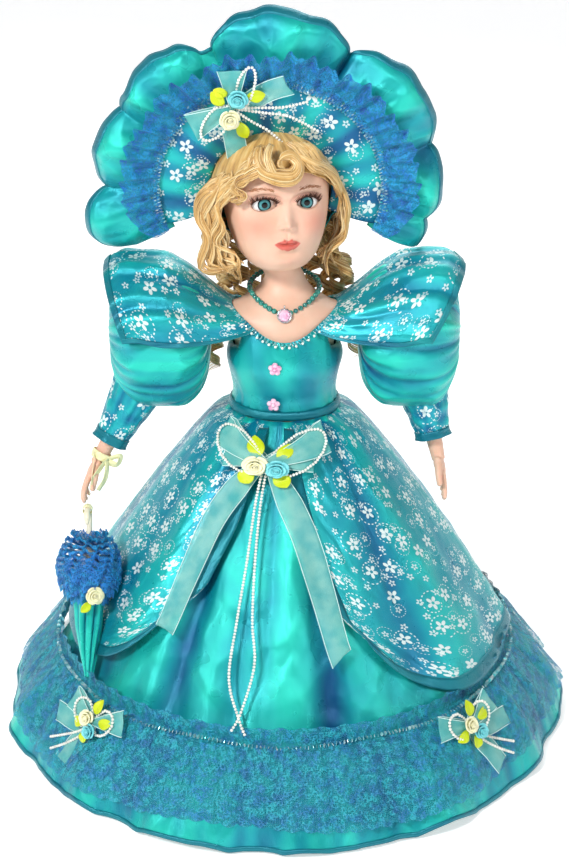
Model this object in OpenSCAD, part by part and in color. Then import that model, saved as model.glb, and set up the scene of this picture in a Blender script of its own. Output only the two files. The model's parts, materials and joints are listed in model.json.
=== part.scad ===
// Porcelain doll in a satin gown, on its hidden display stand.
// +Z is up, the doll faces -Y, and the origin is on the floor under the doll's waist.

/* [Overall] */
// Height of the waist above the floor
waist_z = 226; // [200:1:275]
// Radius of the hem on the floor
hem_r = 200; // [185:1:240]

/* [Stand] */
// Radius of the base disc
base_r = 62; // [55:1:75]
// Thickness of the base disc
base_t = 4; // [3:0.5:5]
// Distance of the post behind the doll's centre line
post_y = 36.5; // [36:0.5:38]
// Outer radius of the post
post_r = 4; // [3.5:0.5:4.5]
// Radius of the rod that slides in the post
rod_r = 2.4; // [1.8:0.1:2.8]
// Radial running clearance of the rod in the post
rod_gap = 0.1; // [0.05:0.05:0.2]
// Travel of the rod in the post
rod_travel = 20; // [10:1:30]

/* [Body] */
// Radius of the cloth torso at the waist
torso_r = 29; // [24:0.5:30]
// Height of the shoulder axis above the waist
shoulder_h = 50; // [46:1:54]
// Distance of the arm's first section from the centre line
arm_x = 48.3; // [48:0.1:50]
// Half the distance between the hips
hip_x = 18; // [17:0.5:20]
// Radius of the cloth upper leg
thigh_r = 11; // [8:0.5:11.5]
// Thickness of porcelain
porcelain_t = 2.75; // [2.5:0.25:3]
// Radius of an acrylic eye
eye_r = 7.5; // [6:0.5:8]
// Thickness of sewn cloth
cloth_t = 1.2; // [0.8:0.1:1.4]

/* [Sleeves] */
// Largest radius of the puff sleeve about the shoulder axis
puff_r = 42; // [36:1:44]
// Radius of the porcelain forearm at the elbow
forearm_r = 7; // [6:0.5:8]
// Radius of the porcelain wrist
wrist_r = 5.4; // [4.5:0.1:6]

/* [Hat] */
// Radius of the wig's full crown
wig_r = 41; // [40:0.5:44]
// Outer radius of the hat's stiff brim
brim_r = 84; // [80:1:88]
// Outer radius of the hat's satin ruffle
ruffle_r = 119; // [112:1:124]
// Forward lean of the brim from upright, in degrees
brim_lean = 12; // [6:1:18]

/* [Parasol] */
// Radius of the parasol's stick
stick_r = 2; // [1.6:0.1:2.4]
// Radius of the crook's bend
crook_r = 7; // [6:0.5:8]
// Forward slope of the closed parasol, in degrees
parasol_lean = 25; // [22:1:28]
// Length of the parasol below its crook
parasol_len = 104; // [90:1:106]

/* [Fits] */
// Gap between pieces that lie on each other
gap = 0.4; // [0.3:0.05:0.5]

/* [Hidden] */
$fn = 48;
waist_r = 36;
flare_z = 48;
flare_r = hem_r - 43;
skirt_power = 0.85;
hem_lift = 0.6;
shoulder_z = waist_z + shoulder_h;
hip_z = waist_z - 52.5;
torso_low = hip_z + thigh_r + 0.6;
clip_z = waist_z - 26;
clip_wire_r = 1.6;
tip_r = clip_wire_r + 0.6;
clip_r = torso_r + tip_r + gap;
head_z = waist_z + 142;
necklace_r = 13.45 + 0.35 * torso_r;
wig_c = [0, 0, head_z];
sole_z = base_t + 4.5;
knee_z = hip_z - 74;
ankle_z = sole_z + 14;
leg_r = 9;
puff_x = [arm_x, arm_x + 7, arm_x + 21, arm_x + 36, arm_x + 50, arm_x + 60, arm_x + 65];
puff_share = [0.45, 0.76, 0.97, 1, 0.93, 0.72, 0.4];
elbow = [88, 0, shoulder_z - 25];
elbow_r = 8;
elbow_reach = elbow_r + gap;
arm_turn = arm_x + 15;
// The parasol's tip stands clear of the gown, and the hand follows its crook
tip_y = crook_r * cos(parasol_lean) - parasol_len * sin(parasol_lean) - 47;
tip_z = shoulder_z - 117 - crook_r * sin(parasol_lean) - parasol_len * cos(parasol_lean);
crook_x = max(flare_r - 28, sqrt(pow(skirt_r(tip_z) + 5.25, 2) - pow(tip_y, 2)));
crook_c = [-crook_x, -47, shoulder_z - 117];
wrist_left = [crook_x - 28, -12, shoulder_z - 80];
wrist_right = [crook_x - 8, -14, shoulder_z - 83];

// ---- shared shapes ----

// Radius of the gown's outer surface at a height
function skirt_r(z) =
    waist_r + (flare_r - waist_r) * pow((waist_z - z) / (waist_z - flare_z), skirt_power);

// A band of the gown between two heights, off mm outside its surface and t mm thick
module skirt_band(low, high, off, t, steps = 9) {
    heights = [for (i = [0 : steps]) low + (high - low) * i / steps];
    outer = [for (z = heights) [skirt_r(z) + off + t, z]];
    inner = [for (i = [steps : -1 : 0]) [skirt_r(heights[i]) + off, heights[i]]];
    rotate_extrude() polygon(concat(outer, inner));
}

// A round bar from p to q with its own radius at each end
module bar(p, q, r1, r2) {
    d = q - p;
    len = norm(d);
    translate(p) rotate([0, acos(d[2] / len), atan2(d[1], d[0])]) cylinder(r1 = r1, r2 = r2, h = len);
}

// A torus arc about Z
module arc(r, wire, from = 0, sweep = 360) {
    rotate([0, 0, from]) rotate_extrude(angle = sweep) translate([r, 0]) circle(wire, $fn = 24);
}

// One point of an oval section [z, rx, ry, cy, dip]; dip lowers its two sides
function oval(s, a) = [s[1] * cos(a), s[3] + s[2] * sin(a), s[0] - s[4] * pow(cos(a), 2)];

// A solid through oval sections, closed flat at both ends
module loft(sections, n = 32) {
    m = len(sections);
    points = [for (s = sections) for (i = [0 : n - 1]) oval(s, 360 * i / n)];
    sides = [for (j = [0 : m - 2]) for (i = [0 : n - 1])
        [(j + 1) * n + i, (j + 1) * n + (i + 1) % n, j * n + (i + 1) % n, j * n + i]];
    bottom = [for (i = [0 : n - 1]) i];
    top = [for (i = [n - 1 : -1 : 0]) (m - 1) * n + i];
    polyhedron(points, concat(sides, [bottom, top]), 4);
}

// A wall of even thickness that follows oval sections and is open at both ends
module shell(sections, t, n = 32) {
    m = len(sections);
    inner = [for (i = [m - 1 : -1 : 0]) let (s = sections[i]) [s[0], s[1] - t, s[2] - t, s[3], s[4]]];
    rows = concat(sections, inner);
    points = [for (s = rows) for (i = [0 : n - 1]) oval(s, 360 * i / n)];
    faces = [for (j = [0 : 2 * m - 1]) for (i = [0 : n - 1]) let (k = (j + 1) % (2 * m))
        [k * n + i, k * n + (i + 1) % n, j * n + (i + 1) % n, j * n + i]];
    polyhedron(points, faces, 4);
}

// Sections made larger all round
function grown(sections, by) = [for (s = sections) [s[0], s[1] + by, s[2] + by, s[3], s[4]]];

// ---- stand ----

module stand_base() {
    color("silver") difference() {
        union() {
            translate([0, post_y - 18, 0]) cylinder(r = base_r, h = base_t);
            translate([0, post_y, 0]) cylinder(r = post_r + 3, h = base_t + 8);
        }
        translate([0, post_y, 1]) cylinder(r = post_r + 0.05, h = base_t + 10);
    }
}

module stand_post() {
    color("silver") translate([0, post_y, 1]) difference() {
        cylinder(r = post_r, h = waist_z - 90);
        translate([0, 0, 2]) cylinder(r = rod_r + rod_gap, h = waist_z);
    }
}

module stand_rod() {
    color("gainsboro") union() {
        translate([0, post_y, 12]) cylinder(r = rod_r, h = clip_z - 12);
        bar([0, post_y, clip_z - rod_r], [0, clip_r, clip_z - rod_r], rod_r - 0.2, rod_r - 0.2);
        translate([0, 0, clip_z - rod_r]) arc(clip_r, clip_wire_r, -50, 280);
    }
}

module clip_tips() {
    color("white") for (side = [-50, 230])
        translate([clip_r * cos(side), clip_r * sin(side), clip_z - rod_r])
            rotate([90, 0, side + (side < 0 ? 0 : 180)]) translate([0, 0, 0.3]) union() {
                cylinder(r = tip_r, h = 4);
                translate([0, 0, 4]) sphere(tip_r + 0.1);
            }
}

// ---- body ----

torso_form = [
    [torso_low, torso_r - 3, torso_r - 3, 0, 0],
    [clip_z - 12, torso_r, torso_r, 0, 0],
    [clip_z + 6, torso_r, torso_r, 0, 0],
    [waist_z, torso_r + 1, torso_r, 0, 0],
    [waist_z + 26, torso_r + 3, torso_r - 1, -1, 0],
    [waist_z + 50, torso_r + 4, torso_r - 4, -1, 0],
    [waist_z + 57, torso_r - 3, torso_r - 12, 0, 0]];

bodice_form = [
    [waist_z + 0.5, torso_r + 5.5, torso_r + 3, 0, 0],
    [waist_z + 10, torso_r + 5, torso_r + 3, 0, 0],
    [waist_z + 26, torso_r + 8, torso_r + 6.5, -1, 0],
    [waist_z + 42, torso_r + 10, torso_r + 6.5, -1.5, 4],
    [waist_z + 54, torso_r + 9.5, torso_r + 3, -1.5, 17]];

head_form = [
    [waist_z + 46, torso_r + 6.4, torso_r + 1.4, -1.5, -16],
    [waist_z + 58, torso_r + 6.8, torso_r - 2.6, -1.5, -8],
    [waist_z + 68, torso_r + 1, torso_r - 8, 0, 0],
    [waist_z + 77, 18, 14.5, 1, 0],
    [waist_z + 84, 12.4, 12.4, 2, 0],
    [waist_z + 94, 11.6, 12, 2, 0],
    [waist_z + 101, 15, 16.5, -2.5, 0],
    [waist_z + 105, 21, 22.5, -7, 0],
    [waist_z + 113, 27, 28.5, -6.5, 0],
    [waist_z + 124, 31.5, 32.5, -4.5, 0],
    [waist_z + 137, 33.5, 34.5, -2.5, 0],
    [waist_z + 150, 33.5, 35, -1, 0],
    [waist_z + 160, 31, 32, 0, 0],
    [waist_z + 168, 25, 26.5, 0, 0]];

module torso() {
    color("antiquewhite") union() {
        loft(torso_form);
        for (side = [-1, 1])
            bar([side * 10, 0, shoulder_z], [side * (arm_x - gap), 0, shoulder_z], 7, 7);
    }
}

module eye_balls(grow) {
    for (side = [-1, 1]) translate([side * 14, -26.5, head_z - 1]) sphere(eye_r + grow);
}

module shoulder_head() {
    color("bisque") difference() {
        shell(head_form, porcelain_t);
        eye_balls(0.3);
        for (side = [-1, 1]) translate([side * 14, -26.5, head_z - 1]) rotate([90, 0, 0])
            cylinder(r = eye_r - 2.4, h = 20);
    }
}

module head_pate() {
    color("tan") loft([[waist_z + 168.4, 24, 25.5, 0, 0], [waist_z + 172, 17, 18, 0, 0],
        [waist_z + 174, 9, 9.5, 0, 0]]);
}

module eyes() {
    color("teal") eye_balls(0);
}

module wig_cap() {
    color("goldenrod") difference() {
        translate(wig_c) sphere(wig_r);
        loft(grown(concat([[waist_z + 90, 12, 14, 0, 0]], [for (i = [6 : 13]) head_form[i]],
            [[waist_z + 175, 17, 18, 0, 0]]), gap + 0.3));
        translate([0, 0, head_z - 17]) rotate([90, 0, 0]) cylinder(r = 33, h = wig_r + 10);
        translate([-wig_r - 5, -wig_r - 5, head_z - 77]) cube([2 * wig_r + 10, 2 * wig_r + 10, 60]);
    }
}

// Ringlets that hang from the cap at the sides and the back
module wig_curls() {
    color("goldenrod") for (a = [18, 42, 66, 90, 114, 138, 162]) {
        long = abs(a - 90) < 60 ? 78 : 42;
        translate([(wig_r + 2.5) * cos(a), (wig_r + 2.5) * sin(a), head_z - 17 - gap - long])
            cylinder(r1 = 3.5, r2 = 7, h = long);
    }
}

module necklace() {
    color("mediumturquoise") union() {
        translate([0, 1, waist_z + 76.5]) rotate([14, 0, 0]) arc(necklace_r, 1.4);
        translate([0, -necklace_r, waist_z + 67.5]) rotate([62, 0, 0]) cylinder(r = 5, h = 3);
        translate([0, 1 - necklace_r, waist_z + 70.6]) sphere(1.8);
    }
}

module bodice() {
    color("darkcyan") shell(bodice_form, cloth_t + 0.3);
}

// A round trim along the bodice's top edge
module neckline_trim() {
    n = 32;
    k = 8;
    wire = 1.1;
    edge = bodice_form[4];
    line = [edge[0] + wire + gap + 0.3, edge[1], edge[2], edge[3], edge[4]];
    points = [for (i = [0 : n - 1]) for (j = [0 : k - 1])
        let (a = 360 * i / n, b = 360 * j / k, p = oval(line, a))
        p + wire * [cos(a) * cos(b), sin(a) * cos(b), sin(b)]];
    faces = [for (i = [0 : n - 1]) for (j = [0 : k - 1])
        [i * k + j, i * k + (j + 1) % k, ((i + 1) % n) * k + (j + 1) % k, ((i + 1) % n) * k + j]];
    color("aquamarine") polyhedron(points, faces, 4);
}

module flower_gems() {
    color("pink") for (place = [[-6, 34], [-7, 8]])
        translate([place[0], -torso_r - (place[1] > 20 ? 8.1 : 3.6), waist_z + place[1]])
            rotate([90, 0, 0]) cylinder(r = 4.5, h = 2.4);
}

// ---- gown ----

module petticoat() {
    color("white") union() {
        skirt_band(12, waist_z - 8, -6, cloth_t);
        translate([0, 0, waist_z - 9]) difference() {
            cylinder(r = skirt_r(waist_z - 4) - cloth_t - gap - 0.2, h = 5);
            translate([0, 0, -1]) cylinder(r = torso_r + 1 + gap + 0.3, h = 8);
        }
    }
}

module hoop_wire() {
    color("silver") translate([0, 0, 14]) arc(skirt_r(14) - 6 - gap - 1.9, 1.2);
}

module underskirt() {
    color("teal") union() {
        skirt_band(flare_z, waist_z - 2, -cloth_t, cloth_t);
        translate([0, 0, waist_z - 3.4]) difference() {
            cylinder(r = skirt_r(waist_z - 1.4), h = 2);
            translate([0, 0, -1]) cylinder(r = torso_r + 1 + gap + 0.3, h = 4);
        }
    }
}

module overskirt() {
    color("darkcyan") difference() {
        skirt_band(72, waist_z - 4, gap + 0.1, cloth_t);
        translate([0, -5, 0]) rotate([90, 0, 0]) linear_extrude(hem_r)
            polygon([[0, waist_z - 32], [58, 60], [-46, 60]]);
        for (a = [-20 : 44 : 200]) rotate([0, 0, a]) translate([0, 0, 66])
            rotate([0, 90, 0]) cylinder(r = 16, h = hem_r);
    }
}

module hem_lace() {
    color("royalblue") skirt_band(50, 69, gap, 1, 3);
}

module hem_sequins() {
    color("paleturquoise") translate([0, 0, 57]) arc(skirt_r(57) + gap + 1 + 0.7 + 1.6, 1.6);
}

module hem_ruffle() {
    top = skirt_r(51) + 1 + 2 * gap;
    neck = skirt_r(47.5) + 1 + 2 * gap;
    low = hem_lift;
    color("teal") rotate_extrude() polygon([[top, 51], [ruffle_r(51), 51], [ruffle_r(30), 30],
        [hem_r, low + 1.2], [hem_r, low], [hem_r - 2.6, low], [neck + 9.6, 29], [neck, 47.5]]);
}

// ---- bows, pearls and flowers; each module is drawn flat, facing +Z ----

// Two ribbon loops, two tails and a knot that reaches down to z = 0
module bow(loop, tail, level) {
    union() {
        cylinder(r = 5, h = level + 2.2);
        for (side = [-1, 1]) {
            translate([side * (loop - 1), 0, level]) difference() {
                cylinder(r = loop, h = 2);
                translate([side * 1.5, 0, -1]) cylinder(r = loop - 3, h = 4);
            }
            rotate([0, 0, side * 24]) translate([-loop * 0.3, -tail, level + 0.3])
                cube([loop * 0.6, tail, 1.4]);
        }
    }
}

// Pearl loops over a bow
module pearls(loop, level) {
    translate([0, 0, level + 2 + gap + 1.3]) union() {
        for (side = [-1, 1]) translate([side * (loop + 2.1), 0, 0]) arc(loop, 1.3);
        translate([0, 0, -1.1]) cylinder(r = 2.5, h = 2.2);
    }
}

// Two roses and four leaves over the pearls
module flowers(size, level) {
    base = level + 2 + gap + 2.6 + gap;
    translate([0, 0, base]) union() {
        cylinder(r = size * 0.6, h = 2);
        for (a = [20, 160, 200, 340]) rotate([0, 0, a]) translate([size * 1.5, 0, 0])
            linear_extrude(1.4) intersection() {
                translate([0, size * 0.6]) circle(size);
                translate([0, -size * 0.6]) circle(size);
            }
        for (side = [-1, 1]) translate([side * size * 0.55, side * size * 0.3, 0]) {
            cylinder(r1 = size * 0.75, r2 = size, h = size * 0.8);
            translate([0, 0, size * 0.8]) cylinder(r1 = size * 0.8, r2 = size * 0.35, h = size * 0.4);
        }
    }
}

// Places its children on the gown's surface, facing outward
module on_gown(turn, z, off) {
    slope = atan2(skirt_r(z - 5) - skirt_r(z + 5), 10);
    rotate([0, 0, turn]) translate([skirt_r(z) + off / cos(slope), 0, z])
        rotate([0, 90 - slope, 0]) rotate([0, 0, 90]) children();
}

waist_spot = [-97, waist_z - 21, gap + cloth_t + gap];

// Radius of the hem ruffle's outer face near its top
function ruffle_r(z) = let (top = skirt_r(51) + 2.4 + 2 * gap, low = skirt_r(47.5) + 12.6 + 2 * gap)
    top + (low - top) * (51 - z) / 21;

// A hem bow's knot, 5 mm in radius, clears the ruffle at its upper and lower edges
hem_tilt = atan2(skirt_r(41) - skirt_r(51), 10);
hem_rise = [for (e = [-5, 5]) ruffle_r(46 + e * cos(hem_tilt)) - skirt_r(46) + e * sin(hem_tilt)];
hem_off = max(hem_rise) * cos(hem_tilt) + 0.6;
hem_spots = [[-136, 46, hem_off], [-46, 46, hem_off]];

module waist_bow() {
    color("paleturquoise") on_gown(waist_spot[0], waist_spot[1], waist_spot[2]) bow(13, 60, 5);
}

module waist_pearls() {
    color("white") on_gown(waist_spot[0], waist_spot[1], waist_spot[2]) pearls(14, 5);
}

module waist_flowers() {
    color("ivory") on_gown(waist_spot[0], waist_spot[1], waist_spot[2]) flowers(8, 5);
}

module hem_bows() {
    color("paleturquoise") for (s = hem_spots) on_gown(s[0], s[1], s[2]) bow(9, 24, 8);
}

module hem_pearls() {
    color("white") for (s = hem_spots) on_gown(s[0], s[1], s[2]) pearls(9, 8);
}

module hem_flowers() {
    color("ivory") for (s = hem_spots) on_gown(s[0], s[1], s[2]) flowers(6, 8);
}

// ---- arms; drawn at +X, and mirrored for the right arm ----

// The puff sleeve's outer form about the shoulder axis, grown by some mm
module puff_form(by) {
    outer = [for (i = [0 : len(puff_x) - 1]) [puff_r * puff_share[i] + by, puff_x[i]]];
    rotate([0, 90, 0]) rotate_extrude()
        polygon(concat([[0, puff_x[0]]], outer, [[0, puff_x[len(puff_x) - 1]]]));
}

module upper_arm() {
    turn = [arm_turn, 0, shoulder_z];
    color("antiquewhite") union() {
        bar([arm_x, 0, shoulder_z], turn, 8, 8);
        translate(turn) sphere(8.3);
        bar(turn, elbow, 8, elbow_r - 0.4);
        translate(elbow) sphere(elbow_r);
    }
}

// Unit direction of the forearm
function arm_way(wrist) = (wrist - elbow) / norm(wrist - elbow);

module forearm(wrist) {
    way = arm_way(wrist);
    start = elbow + way * elbow_reach;
    d = wrist - elbow;
    color("bisque") union() {
        bar(start, wrist, forearm_r, wrist_r);
        translate(wrist) rotate([0, 180 - acos(-d[2] / norm(d)), atan2(d[1], d[0])])
            rotate([180, 0, -atan2(d[1], d[0])]) hand();
    }
}

// A hand that hangs down from the wrist, thin across X, with its thumb to the front
module hand() {
    translate([0, 0, -9]) cylinder(r1 = 4.6, r2 = wrist_r + 0.1, h = 10);
    translate([-3, 0, -15]) rotate([0, 90, 0]) cylinder(r = 8.5, h = 6);
    for (i = [0 : 3]) {
        tip = [1.5, -7.4 + 4.6 * i, -33 + abs(i - 1.4)];
        bar([0, -6 + 4 * i, -19], tip, 2.2, 1.8);
    }
    bar([0, -5, -12], [1, -13, -23], 2.6, 2);
}

module sleeve(wrist) {
    hole_r = 12;
    color("teal") difference() {
        puff_form(0);
        intersection() {
            puff_form(-cloth_t);
            translate([arm_x + cloth_t, -puff_r, -puff_r])
                cube([puff_x[6] - puff_x[0] - 2 * cloth_t, 2 * puff_r, 2 * puff_r]);
        }
        bar([arm_x - 1, 0, 0], [arm_x + 5, 0, 0], hole_r, hole_r);
        translate([0, 0, -shoulder_z]) bar(elbow, wrist, hole_r, hole_r);
    }
}

module at_shoulder() {
    translate([0, 0, shoulder_z]) children();
}

module flounce() {
    color("darkcyan") rotate([0, 90, 0]) rotate([0, 0, 75]) rotate_extrude(angle = 210) {
        last = len(puff_x) - 1;
        inner = [for (i = [0 : last - 2]) [puff_r * puff_share[i] + gap + 0.2, puff_x[i]]];
        outer = [for (i = [last - 2 : -1 : 0])
            [puff_r * puff_share[i] + gap + 0.2 + cloth_t, puff_x[i]]];
        edge = [[puff_r + 1.4, puff_x[last] + 2], [puff_r + 1.4 + cloth_t, puff_x[last] + 2]];
        polygon(concat(inner, edge, outer));
    }
}

module cuff(wrist) {
    way = arm_way(wrist);
    top = elbow + way * 14;
    low = wrist - way * 4;
    color("darkcyan") difference() {
        bar(top, low, 17, 10.5);
        bar(elbow + way * elbow_reach, wrist, forearm_r + gap, wrist_r + gap);
        at_shoulder() puff_form(gap + 0.1);
    }
}

module wrist_ribbon() {
    way = arm_way(wrist_right);
    band = wrist_right + way * 0.5;
    ring = [-crook_c[0], crook_c[1], crook_c[2]];
    strap = [ring[0], ring[1], ring[2] + crook_r + stick_r + 1.2];
    color("khaki") mirror([1, 0, 0]) union() {
        difference() {
            bar(band, band + way * 4.5, wrist_r + 2, wrist_r + 2);
            bar(band - way, band + way * 6, wrist_r + 0.3, wrist_r + 0.3);
        }
        bar(wrist_right + way * 2.6 + [4.7, -5.7, 0], strap + [0, 0, 0.6], 1, 1);
        translate(ring) rotate([0, 90, 0]) rotate([0, 0, 172]) rotate_extrude(angle = 16)
            translate([crook_r, 0]) difference() {
                circle(stick_r + 1.5);
                circle(stick_r + 0.3);
            }
    }
}

module right() {
    mirror([1, 0, 0]) children();
}

module upper_arm_right() { right() upper_arm(); }
module forearm_right() { right() forearm(wrist_right); }
module sleeve_right() { right() at_shoulder() sleeve(wrist_right); }
module flounce_right() { right() at_shoulder() flounce(); }
module cuff_right() { right() cuff(wrist_right); }
module upper_arm_left() { upper_arm(); }
module forearm_left() { forearm(wrist_left); }
module sleeve_left() { at_shoulder() sleeve(wrist_left); }
module flounce_left() { at_shoulder() flounce(); }
module cuff_left() { cuff(wrist_left); }

// ---- parasol; its stick runs down -Z from the crook's back end ----

module along_parasol() {
    translate(crook_c) rotate([-parasol_lean, 0, 0]) translate([0, crook_r, 0]) rotate([180, 0, 0])
        children();
}

module parasol_stick() {
    color("ivory") union() {
        translate(crook_c) rotate([-parasol_lean, 0, 0]) rotate([0, 90, 0]) rotate([0, 0, 90])
            arc(crook_r, stick_r, 0, 205);
        along_parasol() cylinder(r = stick_r, h = parasol_len);
    }
}

module parasol_canopy() {
    color("teal") along_parasol() difference() {
        translate([0, 0, 42]) union() {
            cylinder(r1 = 8, r2 = 10.5, h = 14);
            translate([0, 0, 14]) cylinder(r1 = 10.5, r2 = 3.4, h = parasol_len - 62);
        }
        cylinder(r = stick_r + 0.15, h = parasol_len + 10);
    }
}

module parasol_ruff() {
    color("royalblue") along_parasol() rotate_extrude() polygon([[stick_r + 0.15, 31],
        [20, 25], [21, 27], [stick_r + 0.15 + 4, 41.5], [stick_r + 0.15, 41.5]]);
}

module parasol_rose() {
    color("ivory") along_parasol() translate([0, 10.6, 40.2]) rotate([-40, 0, 0]) union() {
        cylinder(r1 = 3, r2 = 5.5, h = 4.5);
        translate([0, 0, 4.5]) cylinder(r1 = 4.6, r2 = 2, h = 2.5);
    }
}

// ---- legs; drawn at +X ----

module upper_leg() {
    color("antiquewhite") translate([hip_x, 0, 0]) union() {
        translate([0, 0, hip_z]) sphere(thigh_r);
        translate([0, 0, knee_z]) cylinder(r1 = thigh_r - 1.5, r2 = thigh_r, h = hip_z - knee_z);
    }
}

module lower_leg() {
    color("bisque") translate([hip_x, 0, ankle_z]) cylinder(r1 = 5.5, r2 = leg_r, h = knee_z - ankle_z - gap);
}

module shoe() {
    color("white") translate([hip_x, 0, sole_z]) union() {
        linear_extrude(6) union() {
            translate([0, -20]) circle(8);
            translate([0, 5]) circle(7);
            polygon([[-8, -20], [8, -20], [7, 5], [-7, 5]]);
        }
        cylinder(r1 = 7, r2 = 6.4, h = ankle_z - sole_z - gap);
    }
}

module pantaloon() {
    color("white") translate([hip_x, 0, 0]) rotate_extrude() polygon([
        [thigh_r + gap, hip_z - 8], [thigh_r + gap + 1, hip_z - 8], [thigh_r + 2.2, knee_z + 10],
        [thigh_r + 2.4, knee_z - 20], [thigh_r + 1.4, knee_z - 20], [thigh_r + gap, knee_z + 10]]);
}

module upper_leg_right() { right() upper_leg(); }
module lower_leg_right() { right() lower_leg(); }
module shoe_right() { right() shoe(); }
module pantaloon_right() { right() pantaloon(); }
module upper_leg_left() { upper_leg(); }
module lower_leg_left() { lower_leg(); }
module shoe_left() { shoe(); }
module pantaloon_left() { pantaloon(); }

// ---- hat; +Z runs back along the direction in which it pulls off, and -Y is up ----

module hat_frame() {
    translate(wig_c) rotate([brim_lean - 90, 0, 0]) children();
}

// A flat horseshoe of the brim between two radii and two depths
module horseshoe(r1, r2, front, back, drop = 20) {
    rotate([0, 0, 180 - drop]) rotate_extrude(angle = 180 + 2 * drop)
        polygon([[r1, front], [r2, front], [r2, back], [r1, back]]);
}

module hat_crown() {
    color("teal") hat_frame() rotate([0, 0, 160]) rotate_extrude(angle = 220) intersection() {
        difference() {
            circle(wig_r + gap + 0.2 + cloth_t);
            circle(wig_r + gap + 0.2);
        }
        translate([0, 1.6]) square(wig_r + 20);
    }
}

module hat_brim() {
    color("darkcyan") hat_frame() horseshoe(wig_r + gap + 0.2, brim_r, -1, 1.2);
}

module hat_trim() {
    color("paleturquoise") hat_frame() translate([0, 0, -2.9]) arc(brim_r - 12, 1.5, 160, 220);
}

module hat_lace() {
    color("royalblue") hat_frame() horseshoe(brim_r - 10, brim_r + 14, -3.4, -1.4);
}

module hat_ruffle() {
    color("teal") hat_frame() horseshoe(brim_r + gap, ruffle_r, -1, 1.2, 16);
}

module hat_spot() {
    hat_frame() rotate([0, 0, -112]) translate([brim_r - 21, 0, -1.4]) rotate([180, 0, 68]) children();
}

module hat_bow() {
    color("paleturquoise") hat_spot() bow(14, 18, 5);
}

module hat_pearls() {
    color("white") hat_spot() pearls(13, 5);
}

module hat_flowers() {
    color("ivory") hat_spot() flowers(9, 5);
}

stand_base();
stand_post();
stand_rod();
clip_tips();
torso();
shoulder_head();
head_pate();
eyes();
wig_cap();
wig_curls();
necklace();
bodice();
neckline_trim();
flower_gems();
petticoat();
hoop_wire();
underskirt();
overskirt();
hem_lace();
hem_sequins();
hem_ruffle();
waist_bow();
waist_pearls();
waist_flowers();
hem_bows();
hem_pearls();
hem_flowers();
upper_arm_right();
forearm_right();
sleeve_right();
flounce_right();
cuff_right();
wrist_ribbon();
upper_arm_left();
forearm_left();
sleeve_left();
flounce_left();
cuff_left();
parasol_stick();
parasol_canopy();
parasol_ruff();
parasol_rose();
upper_leg_right();
lower_leg_right();
shoe_right();
pantaloon_right();
upper_leg_left();
lower_leg_left();
shoe_left();
pantaloon_left();
hat_crown();
hat_brim();
hat_trim();
hat_lace();
hat_ruffle();
hat_bow();
hat_pearls();
hat_flowers();
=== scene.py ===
# %% [markdown]
# # A porcelain doll in a satin gown
# The construction model comes first: it holds every piece at its real size, with the joints.
# This lesson dresses that frame, so all lengths here are metres in the same frame,
# with +Z up and the doll facing -Y.

# %% Load the frame
import json
import math
import bpy
import numpy as np
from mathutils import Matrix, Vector

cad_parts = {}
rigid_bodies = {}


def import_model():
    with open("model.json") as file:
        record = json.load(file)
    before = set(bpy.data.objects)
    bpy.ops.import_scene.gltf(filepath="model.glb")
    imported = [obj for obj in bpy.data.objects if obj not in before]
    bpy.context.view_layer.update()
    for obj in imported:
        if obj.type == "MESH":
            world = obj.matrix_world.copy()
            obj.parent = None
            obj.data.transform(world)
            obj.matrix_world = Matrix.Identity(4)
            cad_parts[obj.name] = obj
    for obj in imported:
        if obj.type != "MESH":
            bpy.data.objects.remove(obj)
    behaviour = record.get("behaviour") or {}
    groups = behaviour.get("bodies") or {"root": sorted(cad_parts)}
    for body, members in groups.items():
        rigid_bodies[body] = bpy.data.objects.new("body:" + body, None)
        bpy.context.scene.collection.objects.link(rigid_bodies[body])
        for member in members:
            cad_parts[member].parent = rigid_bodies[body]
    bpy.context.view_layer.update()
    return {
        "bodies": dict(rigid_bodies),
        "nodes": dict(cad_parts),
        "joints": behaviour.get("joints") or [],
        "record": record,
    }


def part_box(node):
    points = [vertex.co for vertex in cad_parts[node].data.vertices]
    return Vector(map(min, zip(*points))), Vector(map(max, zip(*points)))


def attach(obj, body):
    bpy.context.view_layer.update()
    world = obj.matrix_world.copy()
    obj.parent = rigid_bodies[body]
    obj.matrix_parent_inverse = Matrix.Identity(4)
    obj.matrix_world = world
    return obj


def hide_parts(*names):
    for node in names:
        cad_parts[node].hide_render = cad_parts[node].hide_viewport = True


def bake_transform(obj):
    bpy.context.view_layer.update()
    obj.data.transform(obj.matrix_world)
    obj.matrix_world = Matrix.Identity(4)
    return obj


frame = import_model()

MM = 0.001
TAU = 2 * math.pi
SIDES = ((-1, "right"), (1, "left"))
SATIN_T = 0.5 * MM           # thickness of the gown's cloth
RIBBON_T = 0.3 * MM
UV_PER_M = 100               # the cloth's map counts in units of 10 mm
SEAM = 1e-6                  # points closer than this are one

# %% [markdown]
# The main places come from the construction's own boxes, so a changed waist or hem moves
# the cloth with it. The gown's radius follows one rule from the waist to the hem.

# %% Read the main places from the frame
def low(node):
    return Vector(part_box(node)[0])


def high(node):
    return Vector(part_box(node)[1])


WAIST_Z = low("bodice").z
JOINTS = {joint["name"]: joint for joint in frame["joints"]}
FLARE_Z = low("underskirt").z
FLARE_R = high("underskirt").x
HEM_R = high("hem_ruffle").x
ARM_X = low("upper_arm_left").x
HEAD_Z = high("wig_cap").z - (high("wig_cap").x - low("wig_cap").x) / 2
WAIST_R = 36 * MM
print("waist", round(WAIST_Z, 4), "hem radius", round(HEM_R, 4), "head", round(HEAD_Z, 4))


def gown_radius(z):
    """Radius of the gown's even surface at a height."""
    share = np.clip((WAIST_Z - z) / (WAIST_Z - FLARE_Z), 0, 1.4)
    return WAIST_R + (FLARE_R - WAIST_R) * share ** 0.85


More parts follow.
